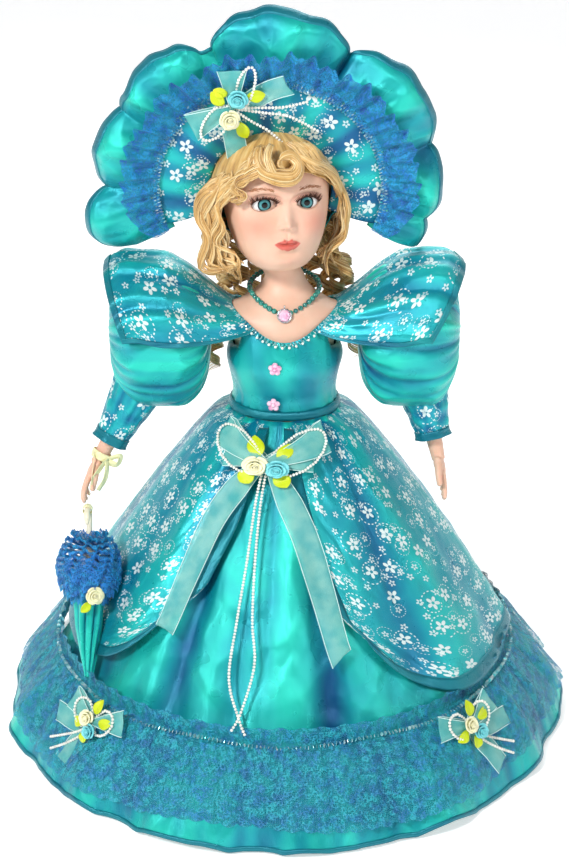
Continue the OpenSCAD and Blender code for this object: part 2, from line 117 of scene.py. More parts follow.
# %% [markdown]
# Most of the dress is cloth, and cloth is a sheet that bends. A grid of points is the easiest
# sheet to shape by a rule, so each cloth piece is a grid. The grid also carries a UV map in
# units of 10 mm, so a print or a weave keeps its real size, and a "fold" value from 0 in the
# valleys to 1 on the crests, which the finishes use to paint shade into the valleys and
# highlights onto the crests.

# %% Build a mesh from a grid of points
def arc_lengths(points, axis):
    """Running length along an axis of a grid, averaged over the other axis."""
    steps = np.linalg.norm(np.diff(points, axis=axis), axis=2)
    mean = steps.mean(axis=1 - axis)
    return np.concatenate([[0], np.cumsum(mean)])


def into_scene(obj):
    bpy.context.scene.collection.objects.link(obj)
    return obj


def set_values(mesh, name, values):
    """A value on every point of a mesh, for its finish to read."""
    layer = mesh.attributes.new(name, "FLOAT", "POINT")
    layer.data.foreach_set("value", np.asarray(values, dtype=np.float32).ravel())


def new_object(name, verts, faces, material, uvs, fold):
    mesh = bpy.data.meshes.new(name)
    mesh.from_pydata([tuple(p) for p in verts], [], faces)
    layer = mesh.uv_layers.new(name="cloth")
    loops = np.empty(len(mesh.loops), dtype=np.int32)
    mesh.loops.foreach_get("vertex_index", loops)
    layer.data.foreach_set("uv", np.asarray(uvs, dtype=np.float32)[loops].ravel())
    # the "fold" value drives the painted shade and highlight of the cloth finishes; on hair it is each strand's
    # own tone
    set_values(mesh, "fold", fold)
    mesh.polygons.foreach_set("use_smooth", [True] * len(mesh.polygons))
    mesh.materials.append(material)
    mesh.update()
    return into_scene(bpy.data.objects.new(name, mesh))


def grid_faces(rows, cols, wrap, start=0):
    span = cols if wrap else cols - 1
    i, j = np.meshgrid(np.arange(rows - 1), np.arange(span), indexing="ij")
    k = (j + 1) % cols
    quads = np.stack([i * cols + j, i * cols + k, (i + 1) * cols + k, (i + 1) * cols + j], axis=-1)
    return (quads.reshape(-1, 4) + start).tolist()


def round_grid(rows, cols, span=(0, 1)):
    """Rows along a span, and columns all the way round."""
    return np.meshgrid(np.linspace(*span, rows), np.linspace(0, TAU, cols + 1)[:-1], indexing="ij")


def ring_points(radius, angle, z):
    return np.stack([radius * np.cos(angle), radius * np.sin(angle), z], axis=-1)


def thicken(obj, thick):
    if thick:
        wall = obj.modifiers.new("Cloth thickness", "SOLIDIFY")
        wall.thickness = thick
        wall.offset = 0
    return obj


def weld(obj, distance=SEAM):
    obj.modifiers.new("Join the seam", "WELD").merge_threshold = distance


def join_grids(name, parts, material, thick=0.0):
    """Many small grids in one mesh; each part is points or (points, fold)."""
    verts, faces, uvs, values = [], [], [], []
    for part in parts:
        points, fold = part if isinstance(part, tuple) else (part, None)
        rows, cols = points.shape[:2]
        faces += grid_faces(rows, cols, False, sum(len(v) for v in verts))
        verts.append(points.reshape(-1, 3))
        u, v = arc_lengths(points, 1) * UV_PER_M, arc_lengths(points, 0) * UV_PER_M
        uvs.append(np.stack(np.meshgrid(u, v), axis=-1).reshape(-1, 2))
        values.append(np.full(rows * cols, 0.5) if fold is None else np.asarray(fold).ravel())
    obj = new_object(name, np.concatenate(verts), faces, material, np.concatenate(uvs),
                     np.concatenate(values))
    return thicken(obj, thick)


def grid_object(name, points, material, wrap=False, fold=None, thick=0.0):
    """A sheet from points[row, column]; wrap joins the last column to the first."""
    if wrap:
        points = np.concatenate([points, points[:, :1]], axis=1)
        if fold is not None:
            fold = np.concatenate([fold, fold[:, :1]], axis=1)
    obj = join_grids(name, [(points, fold)], material)
    if wrap:
        weld(obj)
    return thicken(obj, thick)


# %% [markdown]
# Wires, pearled edges, locks of hair and lashes are all tubes along a path. One helper sweeps
# a ring along a path with a frame that never twists by itself, and closes both ends.

# %% Sweep tubes along paths
def unit(v):
    return v / np.maximum(np.linalg.norm(v, axis=-1, keepdims=True), 1e-12)


def sweep(path, radii, sides, flat=1.0, hint=(0.0, 0.0, 1.0)):
    """Rings of a tube; flat below 1 makes a ribbon-like lock."""
    path = np.asarray(path, dtype=float)
    count = len(path)
    radii = np.broadcast_to(radii, count)
    along = unit(np.gradient(path, axis=0))
    side = np.cross(along[0], hint)
    if np.linalg.norm(side) < 1e-4:
        side = np.cross(along[0], (0.3, 1.0, 0.1))
    side = unit(side)
    turn = np.arange(sides) * TAU / sides
    rings = []
    for i in range(count):
        side = unit(side - along[i] * np.dot(side, along[i]))
        other = np.cross(along[i], side)
        a = np.cos(turn)[:, None] * radii[i]
        b = np.sin(turn)[:, None] * radii[i] * flat
        rings.append(path[i] + a * side + b * other)
    return np.array(rings)


def tubes_object(name, tubes, material, folds=None):
    """tubes holds ring grids from sweep(); each closes round and at both ends."""
    verts, faces, uvs, values = [], [], [], []
    start = 0
    for index, rings in enumerate(tubes):
        rows, cols = rings.shape[:2]
        faces += grid_faces(rows, cols, True, start)
        faces.append([start + j for j in reversed(range(cols))])
        faces.append([start + (rows - 1) * cols + j for j in range(cols)])
        verts.append(rings.reshape(-1, 3))
        v = arc_lengths(rings, 0) * UV_PER_M
        u = np.arange(cols) / cols
        uvs.append(np.stack(np.meshgrid(u, v), axis=-1).reshape(-1, 2))
        shade = 0.5 if folds is None else folds[index]
        values.append(np.full(rows * cols, shade))
        start += rows * cols
    return new_object(name, np.concatenate(verts), faces, material, np.concatenate(uvs),
                      np.concatenate(values))


def finished_mesh(obj):
    """The mesh of an object as its modifiers leave it."""
    bpy.context.view_layer.update()
    return bpy.data.meshes.new_from_object(obj.evaluated_get(bpy.context.evaluated_depsgraph_get()))


def apply_modifiers(obj):
    made = finished_mesh(obj)
    obj.modifiers.clear()
    obj.data = made


def flat_faces(obj):
    obj.data.polygons.foreach_set("use_smooth", [False] * len(obj.data.polygons))


def place(obj, body, slot, *nodes):
    """Rides a piece on its body and hides the plain solids it stands for; slot is not used."""
    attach(obj, body)
    if nodes:
        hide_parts(*nodes)
    return obj


def ease(x):
    x = np.clip(x, 0.0, 1.0)
    return x * x * (3 - 2 * x)


def sheet_size(points):
    """Width, length and area of the flat cloth of a grid."""
    width = np.linalg.norm(np.diff(points, axis=1), axis=2).sum(axis=1).max()
    length = np.linalg.norm(np.diff(points, axis=0), axis=2).sum(axis=0).max()
    a = points[1:, :-1] - points[:-1, :-1]
    b = points[:-1, 1:] - points[:-1, :-1]
    return float(width), float(length), float(np.linalg.norm(np.cross(a, b), axis=2).sum())


def print_cut(what, points):
    print(what, "is cut", [round(v, 3) for v in sheet_size(points)[:2]], "m")


def cloth(obj, points):
    """Works out the width and length of the cut that a sheet's grids unfold to, with the bands sewn to it;
    nothing is kept, and the sheet comes back unchanged.
    """
    grids = points if isinstance(points, list) else [points]
    width, length, area = max((sheet_size(grid) for grid in grids), key=lambda size: size[2])
    total = sum(sheet_size(grid)[2] for grid in grids)
    length = max(length, total / width, 0.0101)
    return obj


# %% [markdown]
# A finish is a material. Effects that several finishes share are node groups: the woven grain
# of satin, the change of colour between crest and valley, the printed blossoms and the lace
# net. Each group gives back only a value or a colour, and the shader stays in the material.

# %% Small helpers for node trees
def tint(r, g, b):
    """A colour given in screen values from 0 to 255, as linear light."""
    def linear(c):
        c /= 255
        return c / 12.92 if c <= 0.04045 else ((c + 0.055) / 1.055) ** 2.4
    return (linear(r), linear(g), linear(b), 1.0)


class Nodes:
    """A short way to write node trees."""

    def __init__(self, tree):
        self.tree = tree

    def add(self, kind, inputs=None, **settings):
        """A node with its settings; an input is a plain value or another node's output."""
        node = self.tree.nodes.new("ShaderNode" + kind)
        for key, value in settings.items():
            setattr(node, key, value)
        for key, value in (inputs or {}).items():
            if isinstance(value, bpy.types.NodeSocket):
                self.tree.links.new(value, node.inputs[key])
            else:
                node.inputs[key].default_value = value
        return node

    def math(self, operation, a, b=0.0, clamp=False):
        node = self.add("Math", {0: a, 1: b}, operation=operation)
        node.use_clamp = clamp
        return node.outputs[0]

    def remap(self, value, from_low, from_high, to_low=0.0, to_high=1.0):
        node = self.add("MapRange", {0: value, 1: from_low, 2: from_high, 3: to_low, 4: to_high})
        return node.outputs[0]

    def mix(self, factor, a, b):
        return self.add("Mix", {0: factor, 6: a, 7: b}, data_type="RGBA").outputs[2]

    def group(self, group, inputs):
        return self.add("Group", inputs, node_tree=group).outputs[0]

    def cloth_map(self):
        return self.add("UVMap", uv_map="cloth").outputs[0]

    def attribute(self, name):
        return self.add("Attribute", attribute_name=name).outputs["Fac"]

    def solid_space(self):
        return self.add("TexCoord").outputs["Object"]

    def noise(self, scale, detail=2.0, at=None, **more):
        """Noise through the solid, or over the cloth where at is its map."""
        at = self.solid_space() if at is None else at
        return self.add("TexNoise", {"Vector": at, "Scale": scale, "Detail": detail, **more}).outputs["Fac"]

    def bump(self, strength, distance, height):
        return self.add("Bump", {"Strength": strength, "Distance": distance, "Height": height}).outputs[0]


def shader_group(name, inputs, outputs):
    """A new node group with named sockets; inputs hold (kind, default)."""
    group = bpy.data.node_groups.new(name, "ShaderNodeTree")
    for key, (kind, default) in inputs.items():
        socket = group.interface.new_socket(key, in_out="INPUT", socket_type="NodeSocket" + kind)
        socket.default_value = default
    for key, kind in outputs.items():
        group.interface.new_socket(key, in_out="OUTPUT", socket_type="NodeSocket" + kind)
    tree = Nodes(group)
    return group, tree, tree.tree.nodes.new("NodeGroupInput"), tree.tree.nodes.new("NodeGroupOutput")


def finish_material(name, **sockets):
    """A material whose constant values sit on the shader itself."""
    mat = bpy.data.materials.new(name)
    mat.use_nodes = True
    shader = mat.node_tree.nodes["Principled BSDF"]
    for key, value in sockets.items():
        shader.inputs[key.replace("_", " ")].default_value = value
    return mat, Nodes(mat.node_tree), shader


def feed(tree, shader, **links):
    for key, value in links.items():
        tree.tree.links.new(value, shader.inputs[key.replace("_", " ")])


# %% [markdown]
# Satin is woven so finely that only a faint grain shows, crossed threads about 0.25 mm apart,
# with soft crumples a few millimetres wide. Two wave textures and a noise make that height.

# %% Group: woven grain
GRAIN, g, g_in, g_out = shader_group(
    "Woven grain", {"Threads": ("Float", 40.0), "Crumple": ("Float", 0.5)}, {"Height": "Float"})
uv = g.cloth_map()
threads = []
for direction in ("X", "Y"):
    wave = g.add("TexWave", {"Vector": uv, "Distortion": 0.4}, bands_direction=direction)
    g.tree.links.new(g_in.outputs["Threads"], wave.inputs["Scale"])
    threads.append(wave.outputs["Fac"])
weave = g.math("MULTIPLY", g.math("ADD", threads[0], threads[1]), 0.02)
along = g.add("Mapping", {"Vector": uv, "Scale": (1.0, 0.42, 1.0)}).outputs[0]
soft = g.noise(0.7, 1.0, at=along, Distortion=0.8)
crumple = g.math("MULTIPLY", g.math("MULTIPLY", soft, 4.0), g_in.outputs["Crumple"])
g.tree.links.new(g.math("ADD", weave, crumple), g_out.inputs["Height"])

# %% [markdown]
# Shot satin looks green-teal on the crests and blue in the folds. Here that light is painted into
# the colour: a pale green-teal painted highlight on the crests and a deep blue painted shade in
# the valleys. The colour follows the cloth's own fold value and a slow noise, so it stays put
# when the doll is seen from another side.

# %% Group: shot colour as painted fold shade and highlight
SHOT_FOLD_SHADE, g, g_in, g_out = shader_group(
    "Shot colour as painted fold shade", {"Crest_highlight": ("Color", tint(40, 200, 178)), "Middle": ("Color", tint(0, 150, 165)),
                    "Valley_shade": ("Color", tint(0, 82, 132))}, {"Color": "Color"})
# painted shade and highlight: by the fold value the colour runs from Valley_shade in the valleys, through
# Middle, to Crest_highlight on the crests
fold = g.attribute("fold")
slow = g.noise(26.0, Distortion=0.8)
level = g.math("ADD", fold, g.remap(slow, 0.3, 0.7, -0.12, 0.12), clamp=True)
dark = g.mix(g.remap(level, 0.0, 0.42), g_in.outputs["Valley_shade"], g_in.outputs["Middle"])
g.tree.links.new(g.mix(g.remap(level, 0.42, 0.95), dark, g_in.outputs["Crest_highlight"]), g_out.inputs["Color"])

# %% [markdown]
# The printed satin carries small white blossoms of five petals and curls of fine dots. A
# Voronoi texture gives each blossom a cell of its own. Inside a cell, the distance and the
# angle from the centre draw the petals and the curl, and the cell's random colour turns them.

# %% Group: printed blossoms
BLOOM, g, g_in, g_out = shader_group("Printed blossoms", {"Cells": ("Float", 1.0)}, {"Mask": "Float"})
uv = g.cloth_map()
scaled = g.add("VectorMath", {0: uv}, operation="SCALE")
g.tree.links.new(g_in.outputs["Cells"], scaled.inputs["Scale"])


def blossom_layer(vector, scale, petal, curl_from):
    """Petals and a dotted curl in every cell of one Voronoi layer."""
    cells = g.add("TexVoronoi", {"Vector": vector, "Scale": scale, "Randomness": 0.8},
                  voronoi_dimensions="2D")
    here = g.add("VectorMath", {0: vector}, operation="SCALE")
    here.inputs["Scale"].default_value = scale
    there = g.add("VectorMath", {0: cells.outputs["Position"]}, operation="SCALE")
    there.inputs["Scale"].default_value = scale
    off = g.add("VectorMath", {0: here.outputs[0], 1: there.outputs[0]}, operation="SUBTRACT")
    split = g.add("SeparateXYZ", {0: off.outputs[0]})
    reach = g.add("VectorMath", {0: off.outputs[0]}, operation="LENGTH").outputs["Value"]
    chance = g.add("SeparateColor", {0: cells.outputs["Color"]})
    angle = g.math("ADD", g.math("ARCTAN2", split.outputs[1], split.outputs[0]),
                   g.math("MULTIPLY", chance.outputs[0], 6.28))
    lobe = g.math("ABSOLUTE", g.math("COSINE", g.math("MULTIPLY", angle, 2.5)))
    edge = g.math("MULTIPLY", g.math("ADD", g.math("MULTIPLY", lobe, 0.72), 0.24), petal)
    petals = g.remap(g.math("SUBTRACT", edge, reach), 0.0, 0.015)
    eye = g.remap(reach, 0.045, 0.06)
    flower = g.math("MULTIPLY", petals, eye)
    spiral = g.math("ADD", g.math("MULTIPLY", g.math("FRACT", g.math("DIVIDE", angle, 6.2832)), 0.17), 0.27)
    near = g.remap(g.math("ABSOLUTE", g.math("SUBTRACT", reach, spiral)), 0.022, 0.012)
    dots = g.remap(g.math("SINE", g.math("MULTIPLY", angle, 17.0)), -0.1, 0.2)
    some = g.math("GREATER_THAN", chance.outputs[1], curl_from)
    curl = g.math("MULTIPLY", g.math("MULTIPLY", near, dots), some)
    return g.math("MAXIMUM", flower, curl)


both = g.math("MAXIMUM", blossom_layer(scaled.outputs[0], 0.72, 0.24, 0.2),
              g.math("MULTIPLY", blossom_layer(scaled.outputs[0], 1.15, 0.2, 0.6), 0.8))
g.tree.links.new(both, g_out.inputs["Mask"])

# %% [markdown]
# Lace is a fine net with solid motifs worked on it. The net is the edge of small Voronoi
# cells, and the motifs are rounded petals around wider cells. The mask is the cloth's opacity.

# %% Group: lace net
LACE, g, g_in, g_out = shader_group("Lace net", {"Mesh": ("Float", 9.0)}, {"Mask": "Float"})
uv = g.cloth_map()
net = g.add("TexVoronoi", {"Vector": uv, "Randomness": 0.5}, feature="DISTANCE_TO_EDGE",
            voronoi_dimensions="2D")
g.tree.links.new(g_in.outputs["Mesh"], net.inputs["Scale"])
strings = g.remap(net.outputs["Distance"], 0.14, 0.08)
wander = g.noise(3.2, at=uv, Distortion=1.5)
ring = g.add("TexVoronoi", {"Vector": uv, "Scale": 2.7, "Randomness": 1.0}, voronoi_dimensions="2D")
petal = g.math("ABSOLUTE", g.math("SUBTRACT",
                                  g.math("ADD", ring.outputs["Distance"],
                                         g.math("MULTIPLY", wander, 1.3)), 0.95))
worked = g.remap(petal, 0.17, 0.12)
g.tree.links.new(g.math("MAXIMUM", strings, worked), g_out.inputs["Mask"])
print("shader groups:", [group.name for group in bpy.data.node_groups])

# %% [markdown]
# Now the finishes of the doll's cloth. Satin is smooth and bright with a soft sheen. The
# printed satin is the same cloth with white blossoms on it. Its value on each fixed socket
# is set once, and only colour, roughness, opacity and the bump change over the surface.

# %% Cloth finishes
def satin(name, crest_highlight, middle, valley_shade, crumple=0.5, printed=None, roughness=0.29, metal=0.42):
    mat, t, shader = finish_material(name, Sheen_Weight=0.08, Sheen_Roughness=0.35, Metallic=metal,
                                     Specular_IOR_Level=0.6, Anisotropic=0.45)
    # painted fold shade: crest_highlight is a painted highlight on the crests, valley_shade a painted shade in
    # the valleys
    colour = t.group(SHOT_FOLD_SHADE, {"Crest_highlight": crest_highlight, "Middle": middle, "Valley_shade": valley_shade})
    height = t.group(GRAIN, {"Threads": 36.0, "Crumple": crumple})
    patch = t.noise(70.0)
    rough = t.remap(patch, 0.2, 0.8, roughness - 0.06, roughness + 0.08)
    if printed:
        mask = t.group(BLOOM, {"Cells": printed})
        colour = t.mix(mask, colour, tint(226, 240, 238))
        rough = t.math("ADD", rough, t.math("MULTIPLY", mask, 0.2))
    feed(t, shader, Base_Color=colour, Roughness=rough, Normal=t.bump(0.7, 0.0011, height))
    return mat


# Each satin: a crest colour with painted highlight, its middle colour, and a valley colour with painted shade
TEAL = dict(crest_highlight=tint(28, 208, 188), middle=tint(0, 156, 170), valley_shade=tint(0, 88, 138))
SATIN = satin("Teal satin with painted fold shade", **TEAL)
SATIN_SOFT = satin("Teal satin ruffle", **TEAL, crumple=0.9)
PRINT = satin("Printed teal satin", crest_highlight=tint(22, 192, 188), middle=tint(0, 146, 170),
              valley_shade=tint(0, 94, 146), printed=0.68)
BINDING = satin("Plain teal binding", crest_highlight=tint(8, 150, 150), middle=tint(0, 118, 138),
                valley_shade=tint(0, 72, 112), crumple=0.3)
CREAM_SATIN = satin("Cream ribbon satin", crest_highlight=tint(255, 252, 214), middle=tint(248, 243, 190),
                    valley_shade=tint(226, 212, 146), crumple=0.2, metal=0.05)


def lace(name, colour, shade, light, ground=0.0, other=None):
    mat, t, shader = finish_material(name, Sheen_Weight=0.12, Sheen_Roughness=0.3, Specular_IOR_Level=0.6)
    mask = t.group(LACE, {"Mesh": 9.0})
    # painted shade: by the fold value the lace turns to its darker shade colour in the valleys of its folds
    fold_shade = t.attribute("fold")
    uv = t.cloth_map()
    glint = t.noise(14.0, 3.0, at=uv, Roughness=0.7)
    base = t.mix(fold_shade, shade, colour)
    if other:      # a second dye runs through the lace in clouds
        cloud = t.noise(1.2, 3.0, at=uv)
        base = t.mix(t.remap(cloud, 0.4, 0.58), base, other)
    # painted glints: where the fine noise peaks, the lace takes its light colour
    base = t.mix(t.remap(glint, 0.56, 0.72), base, light)
    feed(t, shader, Base_Color=base, Alpha=t.math("MAXIMUM", mask, ground),
         Roughness=t.remap(mask, 0.0, 1.0, 0.6, 0.5),
         Normal=t.bump(0.8, 0.0006, t.math("ADD", mask, glint)))
    return mat


# each lace: its colour, the painted shade of its folds, and the colour of its painted glints
LACE_BLUE = lace("Royal blue lace", tint(0, 126, 208), tint(0, 74, 160), tint(70, 186, 236), ground=0.45,
                 other=tint(0, 148, 204))
LACE_TEAL = lace("Blue-green lace", tint(0, 138, 190), tint(0, 98, 158), tint(120, 222, 230), ground=0.3,
                 other=tint(0, 164, 182))
LACE_WHITE = lace("White lace", tint(244, 244, 240), tint(206, 208, 206), tint(250, 250, 248))


def organza(name, colour, body, clear):
    mat, t, shader = finish_material(name, Sheen_Weight=0.5, Sheen_Roughness=0.25, Specular_IOR_Level=0.6)
    uv = t.cloth_map()
    wave = t.add("TexWave", {"Vector": uv, "Scale": 26.0, "Distortion": 0.3}, bands_direction="X")
    cloudy = t.noise(90.0)
    feed(t, shader, Base_Color=t.mix(t.remap(cloudy, 0.35, 0.65), body, colour),
         Alpha=t.math("ADD", t.math("MULTIPLY", wave.outputs["Fac"], 0.16), clear),
         Roughness=t.remap(cloudy, 0.3, 0.7, 0.28, 0.42),
         Normal=t.bump(0.3, 0.0003, wave.outputs["Fac"]))
    return mat


ORGANZA = organza("Pale teal organza", tint(150, 226, 216), tint(96, 204, 202), 0.42)


COTTON, t, shader = finish_material("White cotton", Sheen_Weight=0.15)
height = t.group(GRAIN, {"Threads": 22.0, "Crumple": 0.6})
mottle = t.noise(120.0, 4.0)
feed(t, shader, Base_Color=t.mix(t.remap(mottle, 0.3, 0.7), tint(226, 226, 222), tint(246, 245, 240)),
     Roughness=t.remap(mottle, 0.3, 0.7, 0.75, 0.88), Normal=t.bump(0.4, 0.0005, height))
print("cloth finishes ready")

# %% [markdown]
# The camera looks slightly down from the front, the way a doll on a table is seen. The room
# is one big pale floor, two wide soft lights and an even sky.

# %% Camera, floor and lights
lens = bpy.data.cameras.new("Camera")
lens.lens, lens.sensor_width = 68.4, 36.0
lens.clip_start, lens.clip_end = 0.05, 20.0
camera = bpy.data.objects.new("Camera", lens)
camera.location = (0.0, -1.02, 0.636)
camera.rotation_euler = (Vector((0.0, 0.0, 0.2)) - camera.location).to_track_quat("-Z", "Y").to_euler()
into_scene(camera)
bpy.context.scene.camera = camera

floor_finish, t, shader = finish_material("Pale floor", Roughness=0.9, Emission_Color=(1, 1, 1, 1),
                                          Emission_Strength=0.45)
cloudy = t.noise(3.0)
feed(t, shader, Base_Color=t.mix(cloudy, tint(246, 246, 246), tint(250, 250, 250)))
rows = [[(x, y, 0.0) for x in (-6.0, 6.0)] for y in (-6.0, 2.5)]
rows += [[(x, 2.5 + 1.5 * math.sin(a), 1.5 - 1.5 * math.cos(a)) for x in (-6.0, 6.0)]
         for a in np.linspace(0.1, math.pi / 2, 14)]
rows += [[(x, 4.0, 5.0) for x in (-6.0, 6.0)]]
floor = grid_object("floor", np.array(rows) - [0, 0, 0.0004], floor_finish)


def soft_light(name, place_at, aim, size, power):
    data = bpy.data.lights.new(name, "AREA")
    data.shape, data.size, data.energy = "SQUARE", size, power
    light = bpy.data.objects.new(name, data)
    light.location = place_at
    light.rotation_euler = (Vector(aim) - Vector(place_at)).to_track_quat("-Z", "Y").to_euler()
    into_scene(light)


soft_light("Key light", (-0.9, -1.3, 1.5), (0, 0, 0.25), 0.35, 31)
soft_light("Fill light", (1.3, -1.1, 1.0), (0, 0, 0.2), 0.5, 7)
soft_light("Back light", (0.3, 1.4, 1.5), (0, 0, 0.3), 1.2, 12)
world = bpy.data.worlds.new("Pale room")
world.use_nodes = True
world.node_tree.nodes["Background"].inputs["Color"].default_value = (0.95, 0.97, 1.0, 1.0)
world.node_tree.nodes["Background"].inputs["Strength"].default_value = 0.3
bpy.context.scene.world = world
bpy.context.scene.view_settings.view_transform = "Standard"
print("camera, floor and lights stand")

# %% [markdown]
# The gown's skirt has two layers. The underskirt is plain satin gathered at the waist, so its
# folds start narrow and grow deeper towards the hem. Folds of several widths, each with its
# own drift, keep the cloth from looking like a fluted column. One rule gives the fold height
# at any angle and height, and both layers and the hem ruffle use it, so they fit together.

# %% Folds of the skirt
def folds(angle, depth, seeds):
    """Height of the folds from -1 to 1; depth is 0 at the waist and 1 at the hem."""
    total = np.zeros(np.broadcast(angle, depth).shape)
    weight = 0
    for count, share, phase, drift in seeds:
        wave = np.cos(count * angle + phase + drift * depth)
        total = total + share * (np.abs(wave + 0.25) ** 0.8 * np.sign(wave + 0.25) - 0.2)
        weight += share
    return total / weight


def crumple(u, v, size, seed):
    """Height from about 0 to 1 of small crossing creases; u, v and size share one unit."""
    r = np.random.default_rng(seed)
    total = 0
    for _ in range(6):
        a, wave, phase = r.uniform(0, math.pi), size * r.uniform(0.8, 1.8), r.uniform(0, 6.28)
        drift = (np.sin((u * math.cos(a + 1.3) + v * math.sin(a + 1.3)) / (size * 1.5) + phase * 1.7)
                 + 0.7 * np.sin((u * math.cos(a - 0.8) + v * math.sin(a - 0.8)) / size + phase))
        line = (u * math.cos(a) + v * math.sin(a)) / wave + drift * 0.9 + phase
        total = total + (1 - np.abs(np.sin(line))) ** 1.6
    return total / 3


UNDER_FOLDS = [(17, 1.0, 0.4, 0.9), (26, 0.5, 1.9, -1.4), (9, 0.6, 2.2, 0.5), (41, 0.22, 0.3, 2.0)]
OVER_FOLDS = [(11, 1.0, 1.1, -0.5), (19, 0.45, 0.5, 1.2), (6, 0.5, 2.6, 0.3), (33, 0.15, 1.7, -1.0)]


def skirt_points(angles, heights, gap, swell, seeds, billow=0):
    """Grid of a skirt layer: rows go down, columns go round."""
    angle, z = np.meshgrid(angles, heights)
    depth = np.clip((WAIST_Z - z) / (WAIST_Z - FLARE_Z), 0, 1)
    fold = folds(angle, depth, seeds)
    front = np.exp(-((angle - 1.5 * math.pi + 0.12) / 0.5) ** 2) * depth * billow
    radius = gown_radius(z) + gap + 2 * MM * front
    radius = radius + fold * swell * np.clip(depth + 0.12, 0, 1) ** 0.8 * (1 + 0.5 * front)
    small = crumple(angle * 0.13, z, 14 * MM, 4) * np.clip(depth * 1.5, 0, 1)
    radius = radius + small * 2.2 * MM * (swell > 2 * MM)
    points = ring_points(radius, angle, z)
    # painted fold shade: the second value is darker in the valleys and lighter on the crests and crumples
    return points, np.clip(fold * 0.5 + small * 0.3 + 0.42, 0, 1)


# %% [markdown]
# Underneath is a white cotton petticoat that holds the shape, with a hoop wire in its hem.
# The underskirt hangs over it.

# %% Petticoat and underskirt
turn = np.linspace(0, TAU, 241)[:-1]
petticoat_pts, fold = skirt_points(turn, np.linspace(high("petticoat").z, low("petticoat").z, 30),
                                   -8.6 * MM, 0.8 * MM, UNDER_FOLDS)
petticoat = grid_object("petticoat_cloth", petticoat_pts, COTTON, wrap=True, fold=fold, thick=0.6 * MM)
place(petticoat, "doll", "lace_white", "petticoat")
cloth(petticoat, petticoat_pts)

fine_turn = np.linspace(0, TAU, 441)[:-1]
under_pts, fold = skirt_points(fine_turn, np.linspace(high("underskirt").z - 1 * MM, FLARE_Z - 2 * MM, 72),
                               -3.6 * MM, 5.4 * MM, UNDER_FOLDS, billow=1)
underskirt = grid_object("underskirt_cloth", under_pts, SATIN, wrap=True, fold=fold, thick=SATIN_T)
place(underskirt, "doll", "satin_teal", "underskirt")
cloth(underskirt, under_pts)
print_cut("underskirt", under_pts)

# %% [markdown]
# The printed overskirt is open at the front. Its two panels fall away from the waist in a
# long curve and end in rounded lobes, edged with a plain satin band. The edge of a panel is a
# curve in angle and height; the columns of the grid run from that edge round to the back.

# %% Overskirt panels
def over_bottom(angle):
    """Height of the overskirt's lower edge: higher on the doll's right than on the left."""
    return FLARE_Z + 22 * MM - 5 * MM * np.cos(angle) + 2 * MM * np.sin(3 * angle)


FRONT = -math.pi / 2 - 0.13
over_cols, over_rows = 429, 83


def over_grid():
    """The overskirt from its left front edge round the back to its right front edge."""
    top = high("overskirt").z + 1 * MM
    share = np.linspace(0, 1, over_rows) ** 1.05
    side = np.linspace(-1, 1, over_cols)
    points = np.zeros((over_rows, over_cols, 3))
    values = np.zeros((over_rows, over_cols))
    for r, s in enumerate(share):
        opening = 0.12 + 0.13 * ease(s * 1.6) + 0.10 * ease((s - 0.45) / 0.4) + 0.20 * ease((s - 0.74) / 0.26)
        half = math.pi - opening
        angle = FRONT + math.pi + side * half
        from_front = np.abs(np.abs(side * half) - math.pi)
        rise = 38 * MM * np.clip(1 - (from_front - opening) / 0.5, 0, 1) ** 2.4
        z = top + (over_bottom(angle) + rise - top) * s
        depth = np.clip((WAIST_Z - z) / (WAIST_Z - FLARE_Z), 0, 1)
        fold = folds(angle, depth, OVER_FOLDS)
        curl = 1.2 * MM * np.clip(1 - (from_front - opening) / 0.08, 0, 1) * ease(s * 3)
        radius = (gown_radius(z) + 2.2 * MM + 3.0 * MM * depth
                  + (fold + 0.4) * 4.8 * MM * np.clip(depth + 0.08, 0, 1) + curl)
        tuck = np.clip(1 - (top - z) / (7 * MM), 0, 1) ** 1.6
        radius = radius * (1 - tuck) + (35.4 * MM + fold * 0.3 * MM) * tuck
        small = crumple(angle * 0.13, z, 13 * MM, 6) * np.clip(depth * 2, 0, 1)
        radius = radius + small * 1.4 * MM
        points[r] = ring_points(radius, angle, z)
        # painted fold shade: darker in the valleys, lighter on the crests and crumples
        values[r] = np.clip(fold * 0.4 + small * 0.25 + 0.45, 0, 1)
    return points, values


over_pts, fold = over_grid()
overskirt = grid_object("overskirt_cloth", over_pts, PRINT, fold=fold, thick=SATIN_T)
place(overskirt, "doll", "satin_print", "overskirt")


def band_grid(outer, inner, lift):
    share = np.linspace(0, 1, 5)[:, None, None]
    grid = outer[None] * (1 - share) + inner[None] * share
    swell = lift * (0.6 + 0.4 * np.sin(share * math.pi))
    return grid + unit(grid * [1, 1, 0]) * swell


width = 11
bands = [band_grid(over_pts[2:, 0], over_pts[2:, width], 0.7 * MM),
         band_grid(over_pts[2:, -1], over_pts[2:, -1 - width], 0.7 * MM),
         band_grid(over_pts[-1], over_pts[-5], 0.8 * MM)]
binding = join_grids("overskirt_band", bands, BINDING, thick=SATIN_T)
place(binding, "doll", "satin_teal")
cloth(overskirt, over_pts)
print_cut("overskirt", over_pts)

# %% [markdown]
# At the foot of the gown, royal-blue lace is gathered under a line of sequins, and below that
# a wide satin ruffle sweeps out to the floor in big soft waves.

# %% Lace flounce and hem ruffle
RUFFLE_FOLDS = [(14, 1.0, 0.7, 0.9), (25, 0.45, 2.1, -1.6), (7, 0.5, 0.2, 0.6)]
GATHERS = [(61, 1.0, 0.3, 1.0), (97, 0.6, 1.2, -1.5), (23, 0.5, 0.9, 0.4)]
seam_r = float(gown_radius(low("hem_lace").z)) + 1 * MM


